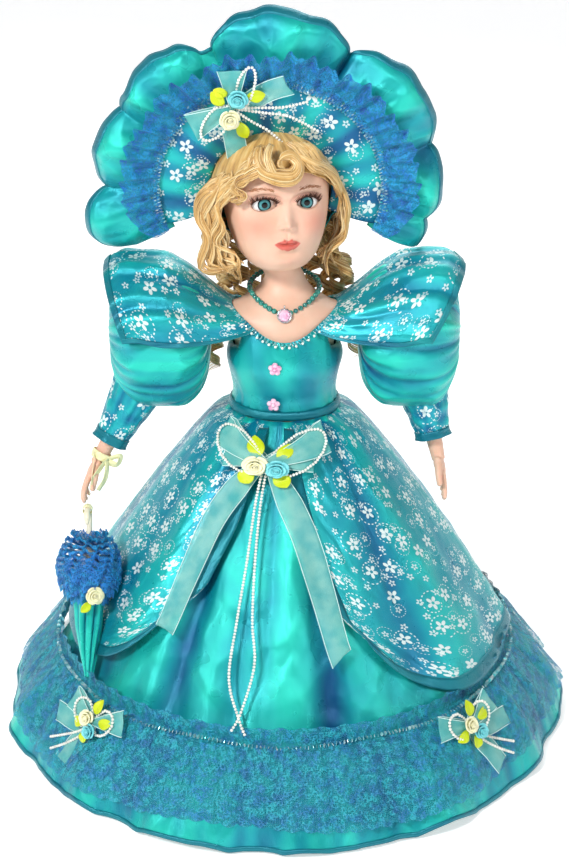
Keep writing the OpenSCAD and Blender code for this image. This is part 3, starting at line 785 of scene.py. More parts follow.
def hem_grid(rows, span, lift, fine, cols):
    """The hem ruffle between two shares of its depth, raised by lift, with fine gathers."""
    s, angle = round_grid(rows, cols, span)
    wave = folds(angle, s, RUFFLE_FOLDS)
    small = folds(angle, s, GATHERS)
    start, end = (seam_r, low("hem_lace").z + 3 * MM), (HEM_R - 6.5 * MM, 1.2 * MM)
    radius = start[0] + (end[0] - start[0]) * s + 6 * MM * np.sin(s * math.pi)
    radius = radius + wave * 5.2 * MM * s ** 0.8 + small * fine * np.clip(1.1 - s, 0.15, 1)
    z = start[1] + (end[1] - start[1]) * s + np.clip(wave, 0, 1) * 7 * MM * s ** 1.4 + lift
    crush = crumple(angle * 0.17, s * 45 * MM, 13 * MM, 8)
    radius = radius + lift * 0.8 + crush * 1.0 * MM
    z = z + crush * 1.3 * MM * np.clip(s * 3, 0, 1)
    points = ring_points(radius, angle, z)
    # painted fold shade: darker in the valleys, lighter on the crests, gathers and crumples
    return points, np.clip(wave * 0.35 + small * 0.2 + crush * 0.25 + 0.4, 0, 1), s, angle


hem_pts, fold, _, _ = hem_grid(36, (0, 1), 0.0, 1.3 * MM, 730)
hem = grid_object("hem_ruffle_cloth", hem_pts, SATIN_SOFT, wrap=True, fold=fold, thick=SATIN_T)
place(hem, "doll", "satin_teal", "hem_ruffle")
hem_edge = grid_object("hem_ruffle_edge", hem_pts[-3:], BINDING, wrap=True, thick=1.4 * MM)
place(hem_edge, "doll", "satin_teal")
cloth(hem, hem_pts)

lace_pts, fold, s, angle = hem_grid(30, (0.0, 0.76), 1.9 * MM, 1.9 * MM, 960)
scallop = 1.6 * MM * np.abs(np.sin(angle * 60)) + 3 * MM * np.sin(angle * 5 + 1)
lace_pts = lace_pts + unit(lace_pts * [1, 1,
                                       0]) * (scallop * (s / 0.76) ** 6 + 0.9 * MM
                                              * (1 - s) ** 4)[..., None]
lace_pts[..., 2] -= scallop * 0.4 * (s / 0.76) ** 6
head, around = round_grid(8, 960, (1, 0))
frill = folds(around, head, [(74, 1.0, 0.3, 1.0), (41, 0.6, 1.2, -1.5)])
head_r = float(gown_radius(57 * MM)) + 4.0 * MM + (3.2 + 1.6 * frill) * MM * head ** 1.5 - 4.0 * MM * head
head_pts = ring_points(head_r, around, 56 * MM + 11.5 * MM * head)
lace_pts = np.concatenate([head_pts, lace_pts + [0, 0, 1.5 * MM] * (1 - s)[..., None] ** 4], axis=0)
# painted fold shade on the gathered heading: darker in its valleys, lighter on its crests
fold = np.concatenate([np.clip(0.5 + frill * 0.5, 0, 1), fold], axis=0)
hem_lace = grid_object("hem_lace_cloth", lace_pts, LACE_TEAL, wrap=True, fold=fold)
place(hem_lace, "doll", "lace_blue", "hem_lace")
cloth(hem_lace, lace_pts)
print_cut("hem ruffle", hem_pts)

# %% [markdown]
# The head and its shoulder plate are one piece of thin fired porcelain. The shape is a stack
# of ovals from the plate over the neck to the crown, smoothed between. The face is then
# modelled as a sculptor adds clay: every feature is a small soft mound or hollow at its place.
# The whole head turns a little to its left, as a finished doll is set.

# %% Head and shoulder plate: the plain form
HEAD_TURN = math.radians(13)
CHEST_Z = WAIST_Z
EYE_AT = Vector(((high("eyes").x + low("eyes").x) / 2, 0, (high("eyes").z + low("eyes").z) / 2))
EYE_X = (high("eyes").x - low("eyes").x) / 2 - (high("eyes").z - low("eyes").z) / 2
HEAD_FORM = np.array([  # height over the waist, half width, half depth, centre y, side dip
    [44.0, 35.4, 30.6, -1.5, -16], [58, 35.8, 26.4, -1.5, -8], [68, 30, 21.4, 0, 0],
    [76, 18.5, 15.4, 1, 0], [83, 13.4, 13.2, 2, 0], [90, 12.6, 12.8, 2, 0],
    [93.8, 12.6, 15.2, -1.8, 0], [96.4, 16.2, 21.0, -6.4, 0], [100.5, 20.4, 25.6, -7.2, 0],
    [108, 25.8, 29.6, -6.4, 0], [121, 30.6, 32.4, -4.6, 0], [136, 33.2, 34.2, -2.5, 0],
    [150, 33.4, 34.8, -1.0, 0], [160, 31.2, 32.2, 0, 0], [168, 25.5, 26.8, 0, 0], [172, 19, 20, 0, 0]])
FORM_EYE = 142               # the form's height that stays level with the eyes
HEAD_SHIFT = -6.5 * MM       # the head is set a little to its right over the neck
FLATTEN = 2.5                # a face is flatter in front than an oval


def smooth_rows(table, at):
    """Rows of a table at fractional places, along a Catmull-Rom curve."""
    last = len(table) - 1
    i = np.clip(np.floor(at).astype(int), 0, last - 1)
    f = (at - i)[:, None]
    p0, p1 = table[np.clip(i - 1, 0, last)], table[i]
    p2, p3 = table[i + 1], table[np.clip(i + 2, 0, last)]
    return 0.5 * (2 * p1 + (p2 - p0) * f + (2 * p0 - 5 * p1 + 4 * p2 - p3) * f ** 2
                  + (3 * p1 - p0 - 3 * p2 + p3) * f ** 3)


def mound(x, z, at_x, at_z, wide, tall):
    return np.exp(-((x - at_x) / wide) ** 2 - ((z - at_z) / tall) ** 2)


def almond(x, z):
    """1 on the edge of an eye's opening, less inside it; x and z in mm from the eye line."""
    dx = (np.abs(x) - EYE_X / MM) / 7.1
    dz = (z + 0.1 * (np.abs(x) - EYE_X / MM)) / np.where(z > 0, 4.3, 3.3)
    return (np.abs(dx) ** 1.8 + np.abs(dz) ** 1.8) ** (1 / 1.8)


def relief(x, z):
    """How far the face stands out from the plain form, in mm."""
    two = np.abs(x)
    out = -2.0 * mound(two, z, EYE_X / MM, 0, 10, 7.5) + 0.9 * mound(two, z, 13, 10.5, 12, 4)
    out += 1.6 * mound(two, z, 17, -14, 10, 9)
    ridge = np.clip((4 - z) / 17, 0, 1) * ease((z + 17.0) / 6.0)
    out += 4.4 * ridge ** 0.95 * np.exp(-(x / 3.7) ** 2)
    out += 2.3 * mound(x, z, 0, -11.3, 3.4, 3.0) + 1.6 * mound(two, z, 4.2, -12.6, 2.1, 2.0)
    out += -0.9 * mound(two, z, 2.1, -14.6, 1.1, 0.7)
    out += 1.9 * mound(x, z, 0, -24, 9.5, 6.0) - 0.4 * mound(x, z, 0, -18.5, 1.0, 2.2)
    out += 1.3 * mound(two, z, 2.5, -22.0, 3.0, 1.4) + 1.7 * mound(x, z, 0, -26.4, 4.6, 1.9)
    crease = -23.9 + 0.3 * np.cos(x * 1.1)
    out += -1.5 * np.exp(-((z - crease) / 0.55) ** 2) * np.exp(-(x / 6.2) ** 6)
    out += -1.1 * mound(x, z, 0, -30.6, 5.5, 1.9) + 1.9 * mound(x, z, 0, -36, 7.5, 4.2)
    edge = almond(x, z)
    out += 0.95 * np.exp(-((edge - 1.16) / 0.16) ** 2) * np.where(z > 0, 1.0, 0.6)
    out += -0.5 * np.exp(-((edge - 1.62) / 0.16) ** 2) * np.clip(z / 3, 0, 1)
    return out - 7.0 * ease((1.02 - edge) / 0.10)


def turned(points):
    """Turns points about the neck; the neck itself twists gradually."""
    share = ease((points[..., 2] - (CHEST_Z + 84 * MM)) / (14 * MM))
    a = HEAD_TURN * share
    x, y = points[..., 0], points[..., 1]
    return np.stack([x * np.cos(a) - y * np.sin(a) + HEAD_SHIFT * share,
                     x * np.sin(a) + y * np.cos(a), points[..., 2]], axis=-1)

# %% [markdown]
# The face of such a doll is modelled in clay and cast in porcelain with its shoulder plate. It
# could be sculpted by hand, or drawn as a grid of rings that low mounds push out: nose, lips,
# cheeks and chin. The grid was chosen, because a few measures in millimetres place each feature.
# Its rows are closest on the face, and points near an eye are drawn onto the almond edge, which
# gives the lids a clean rim.

# %% Head and shoulder plate: the modelled face
rows_at = np.concatenate([np.linspace(0, 7, 40)[:-1], np.linspace(7, 13.2, 190)[:-1],
                          np.linspace(13.2, 15, 10)])
form = smooth_rows(HEAD_FORM, rows_at)
spread = np.linspace(-1, 1, 241)
angles = -math.pi / 2 + math.pi * (0.42 * spread + 0.58 * np.sign(spread) * np.abs(spread) ** 2.6)
angle, z0 = np.meshgrid(angles, form[:, 0])
rx, ry, cy, dip = (np.repeat(form[:, k:k + 1], len(angles), axis=1) for k in (1, 2, 3, 4))
x = rx * np.cos(angle)
dz = z0 - FORM_EYE + (CHEST_Z + FORM_EYE * MM - EYE_AT.z) / MM
front = (np.sin(angle) < -0.2) & (z0 > 94)
edge = almond(x, dz)
pull = np.where(front & (edge < 1.5) & (edge > 0.5), edge, 1.0)
stretch = 1 + np.clip(0.42 - np.abs(pull - 1), 0, 0.42) * (1 - pull) * 1.55
stretch = np.where(pull == 1.0, 1.0, stretch)
eye_x = np.sign(x) * EYE_X / MM
x = np.where(front & (edge < 1.5), eye_x + (x - eye_x) * stretch, x)
dz = np.where(front & (edge < 1.5), dz * stretch, dz)
z = dz + FORM_EYE - (CHEST_Z + FORM_EYE * MM - EYE_AT.z) / MM
y = cy + ry * np.sin(angle)
facing = ease((-np.sin(angle) - 0.12) / 0.45) * ease((z0 - 93) / 6)
bare = np.clip(1 - np.abs(x / rx) ** 2, 0, 1) ** 0.5
flat = np.clip(1 - np.abs(x / rx) ** FLATTEN, 0, 1) ** (1 / FLATTEN)
y = np.where(front, cy - ry * (bare + (flat - bare) * facing), y)
out = relief(x, dz) * facing
y = y - out
z = z - dip * np.cos(angle) ** 2
head_pts = turned(np.stack([x, y, z + CHEST_Z / MM], axis=-1) * MM)

bow_line = -23.9 - 0.5 * np.cos(x * 1.1) * (np.abs(x) < 2.9)
lips = np.clip(1.25 - np.abs(dz - bow_line) / np.where(dz > bow_line, 2.7, 3.7)
               - (np.abs(x) / 7.9) ** 2.4, 0, 1)
PAINT = {"lips": ease(lips * 4) * facing,
         "blush": mound(np.abs(x), dz, 18, -13, 9, 8) * facing + 0.35 * mound(x, dz, 0, -34, 7, 4) * facing,
         "shade": np.exp(-((edge - 1.06) / 0.12) ** 2) * facing * np.where(dz > -0.5, 1, 0.45),
         "lidtone": np.exp(-((edge - 1.4) / 0.4) ** 2) * facing * np.clip(dz / 3, 0, 1)}

PORCELAIN, t, shader = finish_material("Painted porcelain", Specular_IOR_Level=0.5, Subsurface_Weight=0.12,
                                       Subsurface_Scale=0.004, Coat_Weight=0.1, Coat_Roughness=0.35)
mottle = t.noise(55.0, 4.0)
colour = t.mix(t.remap(mottle, 0.3, 0.7), tint(226, 180, 154), tint(234, 194, 170))
for name, tone, most in (("blush", (224, 130, 108), 0.5), ("lidtone", (206, 140, 120), 0.5),
                         ("shade", (58, 26, 18), 0.92), ("lips", (204, 84, 74), 0.9)):
    mask = t.attribute(name)
    colour = t.mix(t.math("MULTIPLY", mask, most), colour, tint(*tone))
gloss = t.attribute("lips")
fine = t.noise(900.0)
rough = t.math("SUBTRACT", t.remap(mottle, 0.2, 0.8, 0.46, 0.54), t.math("MULTIPLY", gloss, 0.24))
feed(t, shader, Base_Color=colour, Roughness=rough,
     Normal=t.bump(0.12, 0.0002, fine))

head = grid_object("porcelain_head", head_pts, PORCELAIN)
for name, mask in PAINT.items():
    set_values(head.data, name, mask)
weld(head)
place(head, "doll", "porcelain", "shoulder_head")
print("head has", len(head.data.polygons), "faces; eyes", round(EYE_X * 2 / MM, 1), "mm apart")

# %% [markdown]
# The eyes are half-round acrylic, with a teal iris, a dark ring round it and a black pupil.
# Each eye is a cap of rings about its gaze; the angle from the gaze is kept on every point,
# and the finish paints the rings from it. A clear coat gives the wet shine.

# %% Eyes
iris_finish, t, shader = finish_material("Acrylic eye", Coat_Weight=0.45, Coat_Roughness=0.03,
                                         Specular_IOR_Level=0.15)
ring = t.attribute("ring")
spoke = t.noise(14.0, at=t.cloth_map())
tone = t.mix(spoke, tint(26, 96, 104), tint(104, 178, 182))
tone = t.mix(t.remap(ring, 0.31, 0.4), tone, tint(4, 26, 34))
tone = t.mix(t.remap(ring, 0.455, 0.485), tone, tint(244, 244, 242))
tone = t.mix(t.remap(ring, 0.215, 0.19), tone, tint(3, 4, 5))
veins = t.noise(500.0)
feed(t, shader, Base_Color=tone, Roughness=t.remap(veins, 0.2, 0.8, 0.08, 0.14))

EYE_R = 9.5 * MM
caps, rings = [], []
polar, spin = np.meshgrid(np.linspace(0.0, 1.1, 40), np.linspace(0, TAU, 49), indexing="ij")
for side in (-1, 1):
    centre = np.array([side * (EYE_X - 0.6 * MM), low("eyes").y + 1.2 * MM + EYE_R, EYE_AT.z + 0.3 * MM])
    local = np.stack([np.sin(polar) * np.cos(spin), -np.cos(polar), np.sin(polar) * np.sin(spin)], axis=-1)
    bulge = 1 + 0.03 * np.exp(-(polar / 0.5) ** 2)
    cap = centre + local * EYE_R * bulge[..., None]
    caps.append(turned(cap[:, ::-1]))
    rings.append(polar)
eyes = join_grids("acrylic_eyes", caps, iris_finish)
set_values(eyes.data, "ring", np.concatenate([r[:, ::-1].ravel() for r in rings]))
place(eyes, "doll", "eye_acrylic", "eyes")

# %% [markdown]
# Lashes and brows are rows of fine tapered hairs. Each hair is a little tube that springs from
# the edge of the upper lid and curls up.

# %% Lashes and brows
def hair_paint(name, scale, dark, light, specular):
    mat, t, shader = finish_material(name, Specular_IOR_Level=specular)
    streak = t.noise(scale)
    feed(t, shader, Base_Color=t.mix(streak, tint(*dark), tint(*light)),
         Roughness=t.remap(streak, 0.2, 0.8, 0.5, 0.7))
    return mat


hair_dark = hair_paint("Dark lash", 400.0, (30, 15, 9), (84, 46, 30), 0.3)
brow_brown = hair_paint("Painted brow", 300.0, (150, 96, 66), (196, 142, 108), 0.2)


def face_point(x, dz, proud=0.0):
    """A point on the modelled face; x and dz are in mm from the middle of the eye line."""
    x, dz = np.asarray(x, float), np.asarray(dz, float)
    up = dz + FORM_EYE - (CHEST_Z + FORM_EYE * MM - EYE_AT.z) / MM
    at = np.interp(up, HEAD_FORM[:, 0], np.arange(len(HEAD_FORM)))
    wide, deep, mid = (smooth_rows(HEAD_FORM, at.ravel())[:, k].reshape(x.shape) for k in (1, 2, 3))
    round_face = np.clip(1 - np.abs(x / wide) ** FLATTEN, 0, 1) ** (1 / FLATTEN)
    y = mid - deep * round_face - relief(x, dz) - proud
    return turned(np.stack([x, y, up + CHEST_Z / MM], axis=-1) * MM)


rng = np.random.default_rng(7)
hairs, strokes = [], []
for side in (-1, 1):
    for k in range(84):
        u = -0.98 + 1.96 * (k + 0.5 * rng.random()) / 84
        lid = 4.3 * (1 - abs(u) ** 1.8) ** (1 / 1.8)
        x0 = side * (EYE_X / MM + 7.3 * u)
        root = face_point(x0, lid * 1.03 + 0.2 - 0.1 * 7.3 * u, 0.1)
        sway = u * 2.3 * side + rng.normal(0, 0.35)
        long = 2.5 + 1.9 * max(u, -0.2) + rng.normal(0, 0.4)
        step = np.linspace(0, 1, 7)[:, None]
        local = np.array([sway, -2.3, 0.0]) * step + np.array([0, 0, long]) * step ** 1.7
        a = HEAD_TURN
        spin2 = np.array([[math.cos(a), math.sin(a), 0], [-math.sin(a), math.cos(a), 0], [0, 0, 1]])
        hairs.append(sweep(root + local @ spin2 * MM, np.linspace(0.3, 0.05, 7) * MM, 4))
    for k in range(110):
        u = rng.random()
        x0 = side * (7.5 + 13.5 * u)
        z0b = 9.4 + 2.4 * math.sin(u * 2.4) - 1.8 * u + rng.normal(0, 0.5)
        lean = np.array([side * (1.2 + u), 1.2 - 1.6 * u]) * (1.0 + 0.3 * rng.random())
        way = np.linspace(0, 1, 5)
        stroke = face_point(x0 + lean[0] * way, z0b + lean[1] * way, 0.06)
        strokes.append(sweep(stroke, np.array([0.05, 0.1, 0.1, 0.08, 0.03]) * MM, 4))
place(tubes_object("lashes", hairs, hair_dark), "doll", "hair")
place(tubes_object("brows", strokes, brow_brown), "doll", "hair")
print("lashes:", len(hairs), "hairs; brows:", len(strokes), "strokes")

# %% [markdown]
# The bodice is plain satin cut close to the body. Its upper edge is a round neckline that lies
# on the porcelain shoulder plate, so the same curve places the bodice, its beaded trim and the
# inner edge of the two printed flounces that cover the shoulders.

# %% Neckline and bodice
def plate_point(angle, at, proud):
    """A point on the shoulder plate; at counts rows of the head's form from its lower edge."""
    angle = np.asarray(angle, float)
    row = smooth_rows(HEAD_FORM, np.broadcast_to(at, angle.shape).astype(float).ravel())
    z, wide, deep, mid, side_dip = (row[:, k].reshape(angle.shape) for k in range(5))
    x = (wide + proud) * np.cos(angle)
    y = mid + (deep + proud) * np.sin(angle)
    return np.stack([x, y, z - side_dip * np.cos(angle) ** 2 + proud * 0.4 + CHEST_Z / MM], axis=-1) * MM


def neckline(angle, proud):
    return plate_point(angle, 0.42 + 1.25 * np.cos(angle) ** 2, proud)


BODICE_FORM = np.array([[-2.5, 35.6, 33.2, 0, 0], [8, 33.6, 31.4, 0, 0], [18, 35, 33.2, -0.6, 0],
                        [30, 37.6, 35.6, -1.2, 1], [42, 38.4, 34.6, -1.5, 4], [50, 38.0, 32.6, -1.5, 12]])
cols = np.linspace(0, TAU, 201)[:-1]
rows_at = np.linspace(0, 5, 44)
body = smooth_rows(BODICE_FORM, rows_at)
angle, share = np.meshgrid(cols, rows_at / 5)
z, rx, ry, cy, dip = (np.repeat(body[:, k:k + 1], len(cols), axis=1) for k in range(5))
pucker = 0.5 * np.cos(22 * angle + 3 * np.sin(3 * angle)) * np.exp(-(share / 0.22) ** 2)
pucker = pucker + 0.35 * np.cos(9 * angle + 8 * share) * np.sin(share * math.pi)
x = (rx + pucker) * np.cos(angle)
y = cy + (ry + pucker) * np.sin(angle)
bodice_pts = np.stack([x, y, z - dip * np.cos(angle) ** 2 + CHEST_Z / MM], axis=-1) * MM
edge = neckline(cols, 1.6)
low_side = ease((np.abs(np.cos(cols)) - 0.66) / 0.2)[:, None]
edge = edge * (1 - low_side) + (bodice_pts[-1] * [0.89, 0.97, 1] + [0, 0, 2 * MM]) * low_side
close = ease((rows_at / 5 - 0.62) / 0.38)[:, None, None]
bodice_pts = bodice_pts * (1 - close) + edge[None] * close
# painted shade and highlight in broad soft patches round the bodice
fold = np.clip(0.52 + 0.25 * np.sin(3 * angle + 5 * share) * np.cos(angle * 5 - 2 * share), 0, 1)
bodice = grid_object("bodice_cloth", bodice_pts, SATIN, wrap=True, fold=fold, thick=0.7 * MM)
place(bodice, "doll", "satin_teal", "bodice")

waistband_pts = np.stack([np.stack([(34.6 + b) * np.cos(cols), (32.4 + b) * np.sin(cols),
                                    np.full(len(cols), CHEST_Z / MM + h)], axis=-1)
                          for h, b in ((-3.2, 2.0), (-2.4, 2.5), (-0.4, 2.2), (1.6, 1.5), (2.4, 0.6))]) * MM
waistband = grid_object("waist_piping", waistband_pts, BINDING, wrap=True, thick=SATIN_T)
place(waistband, "doll", "satin_teal")
cloth(bodice, bodice_pts)
print_cut("bodice", bodice_pts)

# %% [markdown]
# Each sleeve has three parts: a printed flounce that starts at the neckline and falls over the
# shoulder, a big puff of plain satin gathered at both ends, and a printed cuff. The flounce is
# sewn to the bodice and to the sleeve; here it stays in place when the arm swings, while the
# puff and the cuff turn with the arm.

# %% Puff sleeves
SHOULDER = {side: Vector(JOINTS["shoulder_left" if side > 0 else "shoulder_right"]["pos_m"])
            for side in (-1, 1)}
AXIS_Z = SHOULDER[1].z
PUFF_R = high("sleeve_left").z - AXIS_Z
PUFF_X = np.array([ARM_X, ARM_X + 3 * MM, ARM_X + 9 * MM, ARM_X + 20 * MM, ARM_X + 34 * MM,
                   ARM_X + 48 * MM, ARM_X + 58 * MM, ARM_X + 64 * MM, ARM_X + 65.6 * MM])
PUFF_SHARE = np.array([0.24, 0.62, 0.83, 0.97, 1.0, 0.96, 0.8, 0.5, 0.03])


def puff_grid(side):
    s = np.linspace(0, 8, 60)
    table = np.stack([PUFF_X, PUFF_SHARE * PUFF_R], axis=-1)
    row = smooth_rows(table, s)
    around = np.linspace(0, TAU, 205)[:-1]
    turn, t_row = np.meshgrid(around, s / 8)
    x, r = row[:, 0][:, None], row[:, 1][:, None]
    ends = np.clip(np.abs(t_row * 2 - 1) * 1.1, 0, 1) ** 1.5
    wave = folds(turn, t_row, [(26, 1.0, 0.5 + side, 2.2), (41, 0.5, 1.3, -3.0), (11, 0.6, 0.4, 1.0)])
    slow = folds(turn, t_row, [(5, 1.0, 1.2 + side, 4.5), (8, 0.7, 0.2, -5.0)])
    small = np.clip(r / (0.4 * PUFF_R), 0, 1)
    radius = r * (1 - 0.02 * ends) + (wave * (0.8 + 2.4 * ends) * MM + slow * 2.2 * MM) * small
    radius = np.minimum(radius, PUFF_R + 1.2 * MM)
    sag = 11.0 * MM * np.clip(-np.sin(turn), 0, 1) * np.sin(t_row * math.pi)
    crush = crumple(turn * PUFF_R, x * np.ones_like(turn), 13 * MM, 10 + side)
    radius = np.minimum(radius, PUFF_R - 0.6 * MM) + crush * 1.9 * MM * small
    points = np.stack([side * (x + 0 * radius), radius * np.cos(turn),
                       AXIS_Z + radius * np.sin(turn) - sag], axis=-1)
    # painted fold shade: darker in the valleys, lighter on the crests and crumples
    values = np.clip(0.42 + wave * 0.25 + slow * 0.2 + crush * 0.3, 0, 1)
    return (points[:, ::-1], values[:, ::-1]) if side > 0 else (points, values)


for side, word in SIDES:
    pts, fold = puff_grid(side)
    puff = grid_object("puff_" + word, pts, SATIN, wrap=True, fold=fold, thick=SATIN_T)
    place(puff, "arm_" + word, "satin_teal", "sleeve_" + word)
    cloth(puff, pts)
print("puffs are", round(PUFF_R * 2 / MM), "mm across")

# %% [markdown]
# A wide printed flounce falls over each shoulder, from the neckline out over the puff. It could
# be cut flat and draped by a cloth simulation, or drawn as a grid that blends from the neckline
# to an arch over the sleeve. The grid was chosen, because the arch then follows a short list of
# heights and depths, and the folds are a sum of waves that stays the same at every run.

# %% Printed flounces over the shoulders
FLOUNCE_X = np.array([30, 40, 48, 55, 63, 75, 90, 104, 116.5]) * MM
FLOUNCE_DEEP = np.array([31, 33, 34.5, 37.5, 41, 45, 46.3, 46.8, 47.2]) * MM
FLOUNCE_TALL = np.array([19, 22.5, 27.5, 33.5, 39.5, 45, 46.6, 46.4, 45.0]) * MM


def flounce_grid(side, rows=70, cols=120, u_span=(0, 1), v_span=(0, 1), lift=0.0):
    u, v = np.meshgrid(np.linspace(*u_span, rows), np.linspace(*v_span, cols), indexing="ij")
    inner_angle = np.radians(-61 + 122 * v)
    inner = neckline(inner_angle, 1.9 + lift / MM)
    reach = FLOUNCE_X[-1] - (24 if side > 0 else 15) * MM * (np.abs(v - 0.5) * 2) ** 1.8
    x = inner[..., 0] + (reach - inner[..., 0]) * u
    deep, tall = np.interp(x, FLOUNCE_X, FLOUNCE_DEEP), np.interp(x, FLOUNCE_X, FLOUNCE_TALL)
    phi = np.radians(90 + (v - 0.5) * 176 * (1 - 0.16 * u ** 5))
    wave = folds(phi * 2, u, [(7.5, 1.0, 0.4 + side, 1.5), (13, 0.5, 2.0, -2.0), (4, 0.7, 0.9, 2.5)])
    crush = crumple(phi * 45 * MM, x, 15 * MM, 14 + side)
    out = lift + (wave * 2.0 + 3.0 + crush * 1.7) * MM * np.clip(u * 1.8, 0, 1)
    y = -np.cos(phi) * (deep + out)
    z = AXIS_Z + np.sin(phi) * (tall + out)
    outer = np.stack([x, y, z], axis=-1)
    w = ease(u / 0.42)[..., None]
    points = inner * (1 - w) + outer * w
    drop = (np.clip(u - 0.55, 0, 1) * 5 * MM * (np.abs(v - 0.5) * 2) ** 2
            + 6 * MM * np.clip((u - 0.84) / 0.16, 0, 1) ** 2)
    points[..., 2] -= drop
    points[..., 0] *= side
    # painted fold shade: darker in the valleys, lighter on the crests and crumples
    values = np.clip(0.45 + wave * 0.25 + crush * 0.25, 0, 1)
    return (points, values) if side > 0 else (points[:, ::-1], values[:, ::-1])


for side, word in SIDES:
    pts, fold = flounce_grid(side)
    flounce = grid_object("flounce_cloth_" + word, pts, PRINT, fold=fold, thick=SATIN_T)
    edges = [flounce_grid(side, 6, 120, (0.955, 1.0), lift=0.8 * MM),
             flounce_grid(side, 70, 6, v_span=(0.0, 0.022), lift=0.8 * MM),
             flounce_grid(side, 70, 6, v_span=(0.978, 1.0), lift=0.8 * MM)]
    piping = join_grids("flounce_binding_" + word, edges, BINDING, thick=SATIN_T)
    cloth(flounce, pts)
    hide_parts("flounce_" + word)
    for piece in (flounce, piping):
        apply_modifiers(piece)
        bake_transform(piece)
print("flounces reach", round(FLOUNCE_X[-1] / MM), "mm to each side")

# %% [markdown]
# The forearms and hands are porcelain, cast in one. A hand is easiest to build from simple
# rounded tubes for the palm, the fingers and the thumb, which a voxel remesh then melts into
# one skin. The cuffs are tapered tubes of printed satin, a little crumpled at the wrist.

# %% Forearms and hands
ELBOW = np.array([88.0, 0, AXIS_Z / MM - 25])
WRIST = {1: np.array([101.0, -12, AXIS_Z / MM - 80]), -1: np.array([121.0, -14, AXIS_Z / MM - 83])}


def blob(centre, size, tilt=0.0):
    """A rounded lump as a tube with a round profile."""
    s = np.linspace(-1, 1, 13)
    path = np.stack([0 * s, s * math.sin(tilt), -s * math.cos(tilt)], axis=-1) * size[2]
    rings = sweep(path, np.sqrt(np.clip(1 - s ** 2, 0.001, 1)), 16, hint=(0, 1, 0))
    mid = path[:, None, :]
    return centre + mid + (rings - mid) * [size[0], size[1], 0.4]


def finger(points, radii):
    at = np.linspace(0, len(points) - 1, 14)
    path = smooth_rows(np.array(points, float), at)
    r = np.interp(at, np.arange(len(points)), radii)
    tip = np.sqrt(np.clip(1 - np.clip((at - at[-1] + 0.5) / 0.5, 0, 1) ** 2 * 0.95, 0, 1))
    return sweep(path, r * tip, 12, hint=(1, 0, 0))


def hand_tubes(hold):
    """Tubes of one hand in mm; it hangs down -Z, thumb towards -Y, palm towards -X."""
    curl = 5.0 if hold else 2.2
    tubes = [finger([[0, 0, 4], [0, 0, -2], [0, -0.4, -7], [0, -0.6, -10]], [5.2, 4.9, 4.5, 4.2]),
             blob(np.array([0.2, -0.6, -13.5]), [3.3, 6.6, 8.5]),
             blob(np.array([-0.8, -3.6, -11.5]), [3.3, 3.4, 6.0], 0.3)]
    for i, (base, long, wide) in enumerate(((-5.4, 15.0, 2.05), (-1.7, 17.0, 2.1), (1.9, 15.8, 2.0),
                                            (5.2, 12.6, 1.75))):
        spread_y = (i - 1.4) * (0.6 if hold else 1.4)
        bend = curl * (1.0 + 0.15 * i)
        tubes.append(finger([[0.4, base, -16], [0.5, base + spread_y * 0.3, -20],
                             [-0.1 * bend, base + spread_y * 0.7, -20 - long * 0.45],
                             [-0.45 * bend, base + spread_y, -20 - long * 0.8],
                             [-1.0 * bend, base + spread_y * 1.1, -20 - long * 0.98]],
                            [wide, wide * 1.02, wide * 0.95, wide * 0.86, wide * 0.7]))
    thumb_in = -3.4 if hold else -1.0
    tubes.append(finger([[-0.6, -3.5, -9], [-1.2, -7.2, -13], [-1.8 + thumb_in * 0.3, -10.0, -17.5],
                         [-2.0 + thumb_in * 0.6, -11.6, -22], [-2.0 + thumb_in, -12.4, -24.6]],
                        [2.9, 2.7, 2.35, 2.05, 1.6]))
    return tubes


def melt(obj, voxel, rounds, factor=0.5):
    """Voxel remesh and smoothing, applied to the mesh."""
    remesh = obj.modifiers.new("Melt", "REMESH")
    remesh.mode, remesh.voxel_size, remesh.use_smooth_shade = "VOXEL", voxel, True
    soft = obj.modifiers.new("Soften", "SMOOTH")
    soft.iterations, soft.factor = rounds, factor
    apply_modifiers(obj)
    return obj


def arm_frame(side):
    """Axes of a forearm: away from the body, towards the thumb's far side, and up its length."""
    way = unit(WRIST[side] - ELBOW)
    back = unit(np.array([0, 1.0, 0]) - way * way[1])
    out = np.cross(back, -way)
    return np.stack([out, back, -way])


for side, word in SIDES:
    frame_axes = arm_frame(side)
    tubes = [rings @ frame_axes + WRIST[side] for rings in hand_tubes(side < 0)]
    arm_line = np.linspace(ELBOW + (WRIST[side] - ELBOW) * 0.13, WRIST[side], 9)
    tubes.append(sweep(arm_line, np.linspace(7.0, 5.1, 9), 20, hint=(0, 1, 0)))
    tubes = [rings * [side, 1, 1] * MM for rings in tubes]
    if side < 0:
        tubes = [rings[:, ::-1] for rings in tubes]
    arm = melt(tubes_object("forearm_and_hand_" + word, tubes, PORCELAIN), 0.42 * MM, 5)
    place(arm, "arm_" + word, "porcelain", "forearm_" + word)
    print("hand", word, "has", len(arm.data.polygons), "faces")

# %% [markdown]
# Below the puff a printed cuff narrows to the wrist, gathered at its top and crumpled lower
# down. It is a tube of rings along the forearm: a short list gives the radius, and waves are
# added to it. A second, short tube at the wrist is the binding. Two tubes were chosen over one,
# because the binding is another cloth and needs an edge of its own.

